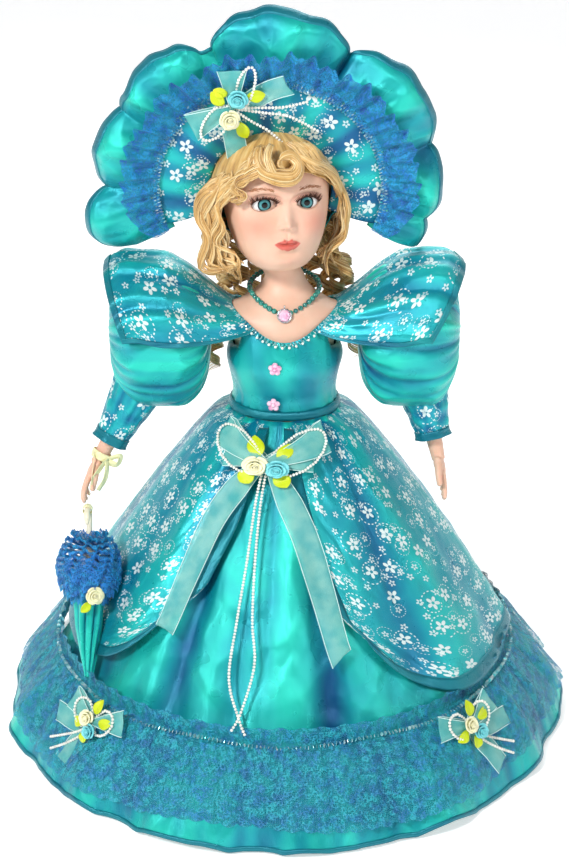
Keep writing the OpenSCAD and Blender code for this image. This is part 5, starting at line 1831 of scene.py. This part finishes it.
# %% Waist bow
def gown_normal(angle, z):
    step = 1 * MM
    slope = (gown_radius(z - step) - gown_radius(z + step)) / (2 * step)
    return unit(np.array([math.cos(angle), math.sin(angle), slope]))


def strand(points, count):
    """A smooth run of points through the given ones."""
    return smooth_rows(np.array(points, float), np.linspace(0, len(points) - 1, count))


def mirror_path(path):
    return np.asarray(path) * [-1, 1, 1]


def lay(points, clear):
    """Sets points of a strand or a tail at an even distance above the gown's folds."""
    r = gown_radius(points[..., 2]) + clear
    a = np.arctan2(points[..., 1], points[..., 0])
    return np.stack([r * np.cos(a), r * np.sin(a), points[..., 2]], axis=-1)


class GownSpot(Spot):
    """A spot whose points follow the gown: out is the distance above the gown's surface."""

    def __init__(self, degrees, z, base):
        a = math.radians(degrees)
        super().__init__([gown_radius(z) * math.cos(a), gown_radius(z) * math.sin(a), z],
                         (-math.sin(a), math.cos(a), 0), gown_normal(a, z))
        self.base = base

    def __call__(self, points):
        points = np.asarray(points, float)
        flat = self.origin + points[..., 0:1] * MM * self.right + points[..., 1:2] * MM * self.up
        return lay(flat, (self.base + points[..., 2]) * MM)


waist_z = WAIST_Z - 18 * MM
waist = GownSpot(-100, waist_z, 9.0)
loops = [(36, 22, 26, 2.0, 4.0), (33, 20, 150, 2.0, 4.0), (26, 16, 4, 1.5, 3.0), (25, 16, 176, 1.5, 3.0)]
tails = [[(-2, -2, 3), (-13, -16, 1.5), (-30, -44, 1), (-46, -82, 0.5), (-60, -116, 1), (-64, -126, 2)],
         [(2, -2, 3), (12, -22, 2), (28, -52, 1.5), (45, -90, 1), (60, -124, 1), (66, -136, 1)]]
pearl_loops = [loop_path(32, 13.5, 7.5, 0.42), mirror_path(loop_path(30, 13.0, 7.5, 0.46))]
strand_a = [(-1, -3, 5), (-4, -30, 1), (-6, -70, 0), (-9, -110, 0), (-11, -150, 0.5), (-2, -176, 1),
            (3, -186, 1.5)]
strand_b = [(1, -3, 5), (-1, -30, 1), (-1, -70, 0), (1, -110, 0), (5, -140, 0.5), (-1, -172, 1),
            (-6, -184, 1.5)]
threads = pearl_loops + [strand(points, 60) for points in (strand_a, strand_b)]
roses = [("cream", 6.6, 7.0, -5.0, -0.5, 7.5, -8), ("teal", 6.2, 7.0, 6.4, -1.6, 7.5, 10)]
leaves = [(12, 9, -6, -5, 6, 235), (13, 9, -4, 4, 6, 105), (13, 9, 6, -5, 6, 300), (11, 8, 6, 3, 6, 60)]
trimming("waist_bow", waist, "doll", ["waist_bow", "waist_pearls", "waist_flowers"], loops, tails, threads,
         roses, leaves, ribbon_w=17.0)

# %% [markdown]
# Two smaller bows of the same make sit on the ruffle at the hem, either side of the front. One
# loop over the two sides makes both, and the sign of the side turns the tails outward.

# %% Hem bows
for away, word in SIDES:
    spot = GownSpot(-91 + 45 * away, 50 * MM, 11.0)
    loops = [(24, 15, 20, 2.0, 3.0), (24, 15, 165, 2.0, 3.0)]
    tails = [[(-1, -2, 3), (away * 8, -6, 3), (away * 20, -8, 4), (away * 33, -9, 5)],
             [(1, -2, 3), (away * 4, -12, 3), (away * 9, -22, 4), (away * 13, -33, 5)]]
    threads = [loop_path(17, 8.5, 5.5, 0.3), mirror_path(loop_path(17, 8.5, 5.5, 0.3)),
               strand([(0, -2, 5), (away * 5, -12, 4), (away * 14, -22, 5), (away * 25, -31, 6)], 30),
               strand([(0, -2, 5), (away * 8, -11, 4), (away * 18, -18, 5), (away * 29, -25, 6)], 30)]
    roses = [("cream", 5.4, 6.0, -2.8, 3.0, 6.5, -8), ("teal", 5.2, 6.0, 3.4, -3.4, 6.5, 8)]
    leaves = [(10, 7, -5, -1, 5.5, 210), (10, 7, 1, 6, 5.5, 80), (10, 7, 6, 2, 5.5, 20),
              (9, 6.5, 0, -6, 5.5, 260)]
    trimming("hem_bow_" + word, spot, "doll", ["hem_bows", "hem_pearls", "hem_flowers"], loops, tails,
             threads, roses, leaves, ribbon_w=12.5)

# %% [markdown]
# The hat carries a bow too. Its spot is found on the hat's own surface and faces away from the
# back of the hat, so the bow follows when the measures of the hat change.

# %% Hat bow
hat_angle = math.radians(110)
hat_spot_at = on_hat(np.array(64 * MM), np.array(hat_angle), np.array(-6 * MM))
hat_spot = Spot(hat_spot_at, (1, 0.0, 0.25), -HAT_BACK)
loops = [(29, 17, 192, 2.0, 3.0), (24, 16, 78, 2.0, 3.0)]
tails = [[(-1, -2, 3), (-4, -12, 3), (-5, -22, 3.5), (-6, -33, 3.5)],
         [(2, -1, 3), (12, 2, 3), (23, 5, 3.5), (35, 6, 4)]]
threads = [mirror_path(loop_path(24, 8.5, 6, -0.5)), loop_path(19, 9, 6, 1.1),
           strand([(3, 0, 6), (16, -4, 4), (30, -7, 4), (44, -7, 4)], 40),
           strand([(3, -1, 6), (18, -8, 4), (32, -14, 4), (46, -27, 4)], 40),
           strand([(2, -3, 6), (9, -12, 4), (17, -20, 4), (24, -31, 4)], 34)]
roses = [("cream", 6.6, 7.0, -4.0, -5.0, 6.5, -8), ("teal", 6.4, 7.0, 5.0, 7.0, 6.5, 8)]
leaves = [(11, 8, -5, 4, 5.5, 120), (11, 8, 10, 6, 5.5, 350), (12, 8, 1, -9, 5.5, 280),
          (9, 7, -1, 10, 5.5, 150)]
trimming("hat_bow", hat_spot, "hat", ["hat_bow", "hat_pearls", "hat_flowers"], loops, tails, threads,
         roses, leaves)

# %% [markdown]
# Rows of sequins and small beads finish the edges: round the neckline, on the hat where the
# lining meets the lace, and on the gown over the lace. The necklace is a string of faceted
# teal beads with a pink crystal in a silver setting, and two flower gems sit on the bodice.

# %% Sequin lines and neckline beads
around = np.linspace(0, TAU, 300)
neck_line = neckline(around, 3.8) - [0, 0, 0.8 * MM]
threaded("neckline_sequins", [neck_line, neckline(around, 4.6) - [0, 0, 2.2 * MM]], 2.4 * MM, 1.15 * MM,
         SEQUIN, "doll", "beads", ["neckline_trim"], flat=True)
threaded("neckline_pearls", [neckline(around, 5.2) - [0, 0, 3.4 * MM]], 4.4 * MM, 0.9 * MM, PEARL,
         "doll", "pearl")
s = np.radians(np.linspace(-17, 197, 260))
trim_r = BRIM_R - 12 * MM
threaded("hat_sequins", [on_hat(trim_r + r, s, -3.2 * MM + 0 * s) for r in (-1.3 * MM, 1.3 * MM)],
         2.3 * MM, 1.25 * MM,
         SEQUIN, "hat", "beads", ["hat_trim"], flat=True, uneven=0.15)
threaded("hat_dark_beads", [on_hat(trim_r + 3.2 * MM + 0 * s, s, -3.4 * MM + 0 * s)], 4.6 * MM, 0.9 * MM,
         BEAD,
         "hat", "beads", uneven=0.3)
sequin_z = (low("hem_sequins").z + high("hem_sequins").z) / 2
line = []
for a in np.linspace(0, TAU, 400):
    r = high("hem_sequins").x + 1.9 * MM
    line.append((r * math.cos(a), r * math.sin(a), sequin_z + 1.5 * MM * math.sin(9 * a)))
threaded("hem_sequin_line", [np.array(line)], 2.5 * MM, 1.3 * MM, SEQUIN, "doll", "beads",
         ["hem_sequins"], flat=True, uneven=0.15)

# %% [markdown]
# A string of beads lies round the neck and dips to a pendant, and flower gems are set down the
# front of the bodice. The string is one closed curve, cut open where the pendant hangs, and the
# beads are threaded on it at an even step. The crystal is a few rings with flat facets between
# them, because flat faces give the hard glints that a smooth ball lacks.

# %% Necklace and flower gems
neck = np.linspace(0, TAU, 200)
drop = np.exp(-((neck - 1.5 * math.pi) / 0.75) ** 2)
necklace_line = np.stack([(22.6 - 2 * drop) * np.cos(neck) * MM,
                          (1 + (22.6 + 1.8 * drop) * np.sin(neck)) * MM,
                          CHEST_Z + (77.5 + 5.4 * np.sin(neck) - 5.6 * drop) * MM], axis=-1)
string = necklace_line[(neck < 1.5 * math.pi - 0.16)]
other = necklace_line[(neck > 1.5 * math.pi + 0.16)]
threaded("necklace_beads", [string, other], 3.5 * MM, 1.85 * MM, BEAD, "doll", "beads", ["necklace"],
         uneven=0.12)
pendant_at = np.array([0, -25.2, CHEST_Z / MM + 65.8]) * MM


def cut_gem(radius, depth, sides=10):
    """A faceted round gem about +out: table, crown facets and girdle, in millimetres."""
    rings = [(0.02, depth), (0.48, depth), (0.80, depth * 0.72), (1.0, depth * 0.3), (0.98, 0.0),
             (0.3, -0.6)]
    grid = []
    for k, (share, up) in enumerate(rings):
        a = np.linspace(0, TAU, sides + 1) + (k % 2) * math.pi / sides
        grid.append(np.stack([radius * share * np.cos(a), radius * share * np.sin(a),
                              np.full(sides + 1, up)], axis=-1))
    return np.array(grid)[:, ::-1]


pendant_spot = Spot(pendant_at, (1, 0, 0), (0, -0.93, 0.36))
crystal = join_grids("pendant_crystal", [pendant_spot(cut_gem(4.0, 2.6))], CRYSTAL)
flat_faces(crystal)
place(crystal, "doll", "crystal")
ring = np.linspace(0, TAU, 41)
circle = np.stack([4.3 * np.cos(ring), 4.3 * np.sin(ring), 0 * ring + 0.4], axis=-1)
back = np.stack([3.9 * np.cos(ring), 3.9 * np.sin(ring), 0 * ring - 0.5], axis=-1)
claws = [sweep(pendant_spot(circle), 0.5 * MM, 8), sweep(pendant_spot(back), 0.45 * MM, 8)]
claws += [sweep(pendant_spot(np.array([(4.4 * math.cos(a), 4.4 * math.sin(a), -0.4),
                                       (4.4 * math.cos(a), 4.4 * math.sin(a), 1.0),
                                       (3.5 * math.cos(a), 3.5 * math.sin(a), 1.9)])), 0.35 * MM, 6)
          for a in np.arange(8) * math.pi / 4]
claws.append(sweep(pendant_spot(np.array([(0, 4.2, 0), (0, 5.6, 0.4), (0, 6.6, 0.2)])), 0.5 * MM, 6))
setting = tubes_object("pendant_setting", claws, SILVER)
place(setting, "doll", "crystal")

petals = []
for x, up in ((-6, 34), (-7, 8)):
    y = -(36.9 if up > 20 else 33.2)
    spot = Spot(np.array([x, y, CHEST_Z / MM + up]) * MM, (1, 0, 0), (x * 0.02, -1, 0.02))
    for k in range(5):
        a = 90 + 72 * k
        petals.append(spot(moved(cut_gem(1.9, 1.3, 7), 2.6 * math.cos(math.radians(a)),
                                 2.6 * math.sin(math.radians(a)), 0.6)))
    petals.append(spot(moved(cut_gem(1.5, 1.6, 8), 0, 0, 1.0)))
gems = join_grids("flower_gems_cut", petals, CRYSTAL)
flat_faces(gems)
place(gems, "doll", "crystal", "flower_gems")
print("gems are cut")

# %% [markdown]
# The closed parasol hangs from the doll's right hand by its crook. The stick is painted
# cream wood. Its canopy is one sheet of satin folded into pleats and wound round the stick,
# under a ruff of the same blue lace as the hat, with a rose tied at the neck.

# %% Parasol
SWING = Vector(JOINTS["parasol_swing"]["pos_m"])
LEAN = math.radians(25)
CROOK_R = 7.0
stick_dir = np.array([0, -math.sin(LEAN), -math.cos(LEAN)])
stick_back = np.array([0, math.cos(LEAN), -math.sin(LEAN)])
CROOK = np.array(SWING)


def on_parasol(points):
    """Points in mm: right, back, and down the stick from the level of the crook's bend."""
    points = np.asarray(points, float) * MM
    return (CROOK + stick_back * CROOK_R * MM + points[..., 0:1] * np.array([1.0, 0, 0])
            + points[..., 1:2] * stick_back + points[..., 2:3] * stick_dir)


wood, t, shader = finish_material("Cream painted wood", Coat_Weight=0.4, Coat_Roughness=0.2)
grain = t.noise(160.0, 5.0, Roughness=0.7)
feed(t, shader, Base_Color=t.mix(t.remap(grain, 0.3, 0.7), tint(232, 222, 190), tint(248, 242, 220)),
     Roughness=t.remap(grain, 0.2, 0.8, 0.3, 0.45),
     Normal=t.bump(0.2, 0.0003, grain))
bend = np.radians(np.linspace(205, 0, 26))
bend_pts = np.stack([0 * bend, -CROOK_R + CROOK_R * np.cos(bend), -CROOK_R * np.sin(bend)], axis=-1)
shaft = np.stack([np.zeros(22), np.zeros(22), np.linspace(2, 104, 22)], axis=-1)
path = np.concatenate([bend_pts, shaft])
radii = np.concatenate([np.linspace(1.2, 2.0, 4), np.full(len(path) - 7, 2.0), [1.7, 1.2, 0.7]])
stick = tubes_object("parasol_stick_painted", [sweep(on_parasol(path), radii * MM, 18, hint=(1, 0, 0))],
                     wood)
place(stick, "parasol", "stick_cream", "parasol_stick")

s, turn_p = round_grid(44, 144)
pleat = np.abs(np.sin(turn_p * 4 + s * 2.2)) ** 0.7
small = 0.4 * np.sin(turn_p * 13 + s * 9)
profile = np.interp(s, [0, 0.05, 0.22, 0.5, 0.8, 0.96, 1.0], [5.5, 8.6, 9.6, 8.4, 5.2, 3.0, 2.6])
radius = profile * (0.66 + 0.36 * pleat) + small * profile / 9
canopy_pts = on_parasol(ring_points(radius, turn_p, 37 + 67 * s))
# painted fold shade: lighter on the outer ridges of the pleats, darker in between
canopy = grid_object("parasol_canopy_cloth", canopy_pts, SATIN, wrap=True, fold=pleat, thick=SATIN_T)
place(canopy, "parasol", "satin_teal", "parasol_canopy")
cloth(canopy, canopy_pts)

ruffs = []
for level in range(11):
    down = level / 10
    start = 16.0 + 25.0 * down
    reach = 13 + 9.5 * math.sin(math.pi * down ** 1.1) ** 0.7
    drop = -13 + 21 * down      # the upper frills stand up, the lower ones hang
    s, turn_r = np.meshgrid(np.linspace(0, 1, 11), np.linspace(0, TAU, 211), indexing="ij")
    wave = folds(turn_r, s, [(9, 1.0, 1.6 * level, 1.0), (16, 0.9, 1.4 + level, -2.0),
                             (27, 0.4, 2.3 * level, 2.0)])
    r = 2.8 + (reach - 3.6) * np.sin(s * 2.0) ** 0.8 + wave * 1.2 * s
    down_stick = start + drop * s + 6.5 * s ** 4 + wave * 2.6 * s
    # painted fold shade: lighter on the crests of each frill's waves, darker in the valleys
    ruffs.append((on_parasol(ring_points(r, turn_r, down_stick)), np.clip(0.65 + wave * 0.35, 0, 1)))
ruff = join_grids("parasol_lace_ruff", ruffs, LACE_BLUE)
place(ruff, "parasol", "lace_blue", "parasol_ruff")
parasol_rose_box = (low("parasol_rose") + high("parasol_rose")) / 2
rose_spot = Spot(np.array(parasol_rose_box) + [5 * MM, -4 * MM, -5 * MM], (0.8, 0.4, 0), (0.3, -0.9, 0.25))
# painted light: each petal is lighter the higher it stands out
mine = [(rose_spot(petal), np.clip(0.35 + 0.12 * petal[..., 2], 0, 1)) for petal in rose(6.2, 6.0, seed=8)]
flower = join_grids("parasol_ribbon_rose", mine, CREAM_SATIN, thick=RIBBON_T)
place(flower, "parasol", "ribbon_cream", "parasol_rose")
greens = [rose_spot(moved(leaf(9, 6), 2, 4, -1, 40, -12)),
          rose_spot(moved(leaf(9, 6), -3, -4, -1, 220, -12))]
leaves_piece = join_grids("parasol_leaves", greens, LEAF, thick=0.35 * MM)
place(leaves_piece, "parasol", "flower_ribbon")
cloth(ruff, [grid for grid, _ in ruffs])
print("parasol is closed and tied")

# %% [markdown]
# A narrow ribbon is tied round the right wrist, and one end of it runs down to the crook of the
# parasol and closes in a loop there. The points are given along the arm's own axes, because the
# arm is slanted, and strips were chosen over a tube, because a ribbon is flat.

# %% Wrist ribbon
wrist_c = WRIST[-1]
axes = arm_frame(-1)
way = -axes[2]


def round_wrist(points):
    points = np.asarray(points, float)
    local = wrist_c + points[..., 0:1] * axes[0] + points[..., 1:2] * axes[1] + points[..., 2:3] * axes[2]
    return local * [-1, 1, 1] * MM


s, turn_w = np.meshgrid(np.linspace(-1, 1, 9), np.linspace(0, TAU, 121), indexing="ij")
crush = 0.35 * np.sin(turn_w * 5 + s * 2)
band = round_wrist(np.stack([(6.4 + crush) * np.cos(turn_w), (6.4 + crush) * np.sin(turn_w),
                             -2.6 + 2.6 * s], axis=-1))
tail_paths = [[(-5, -5, -3), (-7.5, -8, -9), (-9, -9, -16), (-8.5, -10, -23)],
              [(-5, -5, -3), (-3, -9, -8), (-2, -11, -15), (-3.5, -12.5, -21)],
              [(-5.5, -4, -2), (-11, -4, 3), (-12, -3, -3), (-6, -4, -4)]]
strips = [band[:, ::-1]]
for tail in tail_paths:
    strips.append(round_wrist(ribbon(tail, 4.2, normal=(-0.7, -0.7, 0), rows=30, ripple=0.3)))
crook_top = np.array(CROOK) / MM + [0, 0, CROOK_R]
loop_a = np.linspace(-math.pi / 2, 1.5 * math.pi, 33)
hanging = np.concatenate([
    smooth_rows(np.array([round_wrist(np.array([[5.0, -5.5, -2.6]]))[0] / MM, crook_top + [1.5, 16, 14],
                          crook_top + [0.3, 3, 5.4]]),
                np.linspace(0, 2, 16)),
    crook_top + np.stack([3.1 * np.cos(loop_a + math.pi), 0 * loop_a, 3.1 * np.sin(loop_a + math.pi)],
                         axis=-1)])
width_way = np.array([0, 1.0, 0.25]) * 1.5
strips.append(np.stack([(hanging + width_way * k) * MM for k in (-1, -0.5, 0, 0.5, 1)], axis=1))
tie = join_grids("wrist_ribbon_bow", strips, CREAM_SATIN, thick=RIBBON_T)
place(tie, "arm_right", "ribbon_cream", "wrist_ribbon")
cloth(tie, strips)

# %% [markdown]
# Under the gown are the cloth body, the legs with their pantaloons and shoes, and the stand.
# The construction's own shapes are right for most of these, so they keep them and get a
# finish: steel for the stand, muslin for the cloth body, and porcelain for the lower legs.

# %% Hidden pieces
def finish_node(name, material):
    node = frame["nodes"][name]
    node.data.materials.clear()
    node.data.materials.append(material)


steel, t, shader = finish_material("Brushed steel", Metallic=1.0, Anisotropic=0.4)
brush = t.add("TexNoise", {"Vector": t.add("Mapping", {"Vector": t.solid_space(),
                                                      "Scale": (40.0, 40.0, 900.0)}).outputs[0],
                           "Scale": 1.0, "Detail": 4.0}).outputs["Fac"]
feed(t, shader, Base_Color=t.mix(brush, tint(176, 178, 182), tint(214, 216, 220)),
     Roughness=t.remap(brush, 0.2, 0.8, 0.22, 0.4),
     Normal=t.bump(0.15, 0.0002, brush))


def solid_cloth(name, light, dark):
    """Cloth for a construction solid, which has no cloth map of its own."""
    mat, t, shader = finish_material(name, Sheen_Weight=0.2)
    point = t.solid_space()
    wave_a = t.add("TexWave", {"Vector": point, "Scale": 260.0, "Distortion": 0.6},
                   bands_direction="Z").outputs["Fac"]
    wave_b = t.add("TexWave", {"Vector": point, "Scale": 260.0, "Distortion": 0.6},
                   bands_direction="X").outputs["Fac"]
    weave = t.math("MULTIPLY", wave_a, wave_b)
    mottle = t.noise(60.0, 4.0)
    feed(t, shader, Base_Color=t.mix(t.remap(mottle, 0.3, 0.7), tint(*dark), tint(*light)),
         Roughness=t.remap(mottle, 0.3, 0.7, 0.75, 0.88),
         Normal=t.bump(0.4, 0.0004, weave))
    return mat


body_cloth = solid_cloth("Muslin body", (236, 222, 196), (214, 196, 164))
vinyl, t, shader = finish_material("Clear vinyl sleeve", Coat_Weight=0.5, Coat_Roughness=0.1)
fog = t.noise(300.0)
feed(t, shader, Base_Color=t.mix(fog, tint(206, 210, 214), tint(228, 232, 236)),
     Roughness=t.remap(fog, 0.3, 0.7, 0.2, 0.34))
felt = solid_cloth("Card pate", (196, 164, 124), (166, 132, 96))
leather, t, shader = finish_material("White shoe leatherette", Coat_Weight=0.2, Coat_Roughness=0.25)
cells = t.add("TexVoronoi", {"Vector": t.solid_space(), "Scale": 900.0}).outputs["Distance"]
wear = t.noise(90.0, 3.0)
feed(t, shader, Base_Color=t.mix(wear, tint(226, 226, 222), tint(248, 248, 246)),
     Roughness=t.remap(wear, 0.3, 0.7, 0.3, 0.45),
     Normal=t.bump(0.3, 0.0002, cells))
for material, names in ((steel, ("stand_base", "stand_post", "stand_rod", "hoop_wire")),
                        (vinyl, ("clip_tips",)), (felt, ("head_pate",)),
                        (PORCELAIN, ("lower_leg_right", "lower_leg_left")),
                        (leather, ("shoe_right", "shoe_left"))):
    for name in names:
        finish_node(name, material)


def stuffed(name, node, material):
    """A stuffed cloth part: the construction's solid, softened and lightly lumpy."""
    source = frame["nodes"][node]
    mesh = source.data.copy()
    piece = into_scene(bpy.data.objects.new(name, mesh))
    mesh.materials.clear()
    mesh.materials.append(material)
    weld(piece, 1e-5)
    melt(piece, 1.3 * MM, 8, 0.6)
    co = np.empty(len(piece.data.vertices) * 3)
    piece.data.vertices.foreach_get("co", co)
    co = co.reshape(-1, 3)
    normal = np.empty(len(piece.data.vertices) * 3, dtype=np.float32)
    piece.data.vertices.foreach_get("normal", normal)
    lump = np.sin(co[:, 0] * 420) * np.sin(co[:, 1] * 380 + 1) * np.sin(co[:, 2] * 300)
    co += normal.reshape(-1, 3) * (lump[:, None] * 0.5 - 0.2) * MM
    piece.data.vertices.foreach_set("co", co.ravel())
    piece.data.update()
    return piece


BODY_OF = {node: body for body in frame["bodies"]
           for node in frame["record"]["behaviour"]["bodies"].get(body, [])}
for node in ("torso", "upper_arm_right", "upper_arm_left", "upper_leg_right", "upper_leg_left"):
    piece = stuffed(node + "_stuffed", node, body_cloth)
    place(piece, BODY_OF[node], "cloth_body", node)
print("hidden pieces are finished")

# %% [markdown]
# Under the skirt each leg wears a white pantaloon with a lace border. The gown hides both, but a
# part for a library should be complete when it is lifted or seen from below. Each is a gathered
# tube as wide as the leg of its construction, with a short second tube as the border.

# %% Pantaloons
for side, word in SIDES:
    box_low, box_high = low("pantaloon_" + word), high("pantaloon_" + word)
    mid = (box_low + box_high) / 2
    radius = (box_high.x - box_low.x) / 2
    s, turn_l = round_grid(30, 120)
    gathers = folds(turn_l, s, [(14, 1.0, 0.4, 0.6), (23, 0.5, 1.0, -1.0)])
    r = radius - 1.3 * MM + gathers * 0.9 * MM * s
    leg_z = box_high.z + (box_low.z - box_high.z) * s
    pts = np.stack([mid.x + r * np.cos(turn_l), mid.y + r * np.sin(turn_l), leg_z], axis=-1)
    trouser = grid_object("pantaloon_cloth_" + word, pts, COTTON, wrap=True,
                          fold=np.clip(0.5 + gathers, 0, 1), thick=0.6 * MM)
    place(trouser, "leg_" + word, "lace_white", "pantaloon_" + word)
    edge_pts = pts[-8:] + unit(pts[-8:] - pts[-8:].mean(axis=1, keepdims=True)) * 0.9 * MM
    border = grid_object("pantaloon_lace_" + word, edge_pts, LACE_WHITE, wrap=True)
    place(border, "leg_" + word, "lace_white")
    cloth(trouser, pts)
left = [o.name for o in frame["nodes"].values() if not o.hide_render]
print("construction pieces still shown:", sorted(left))
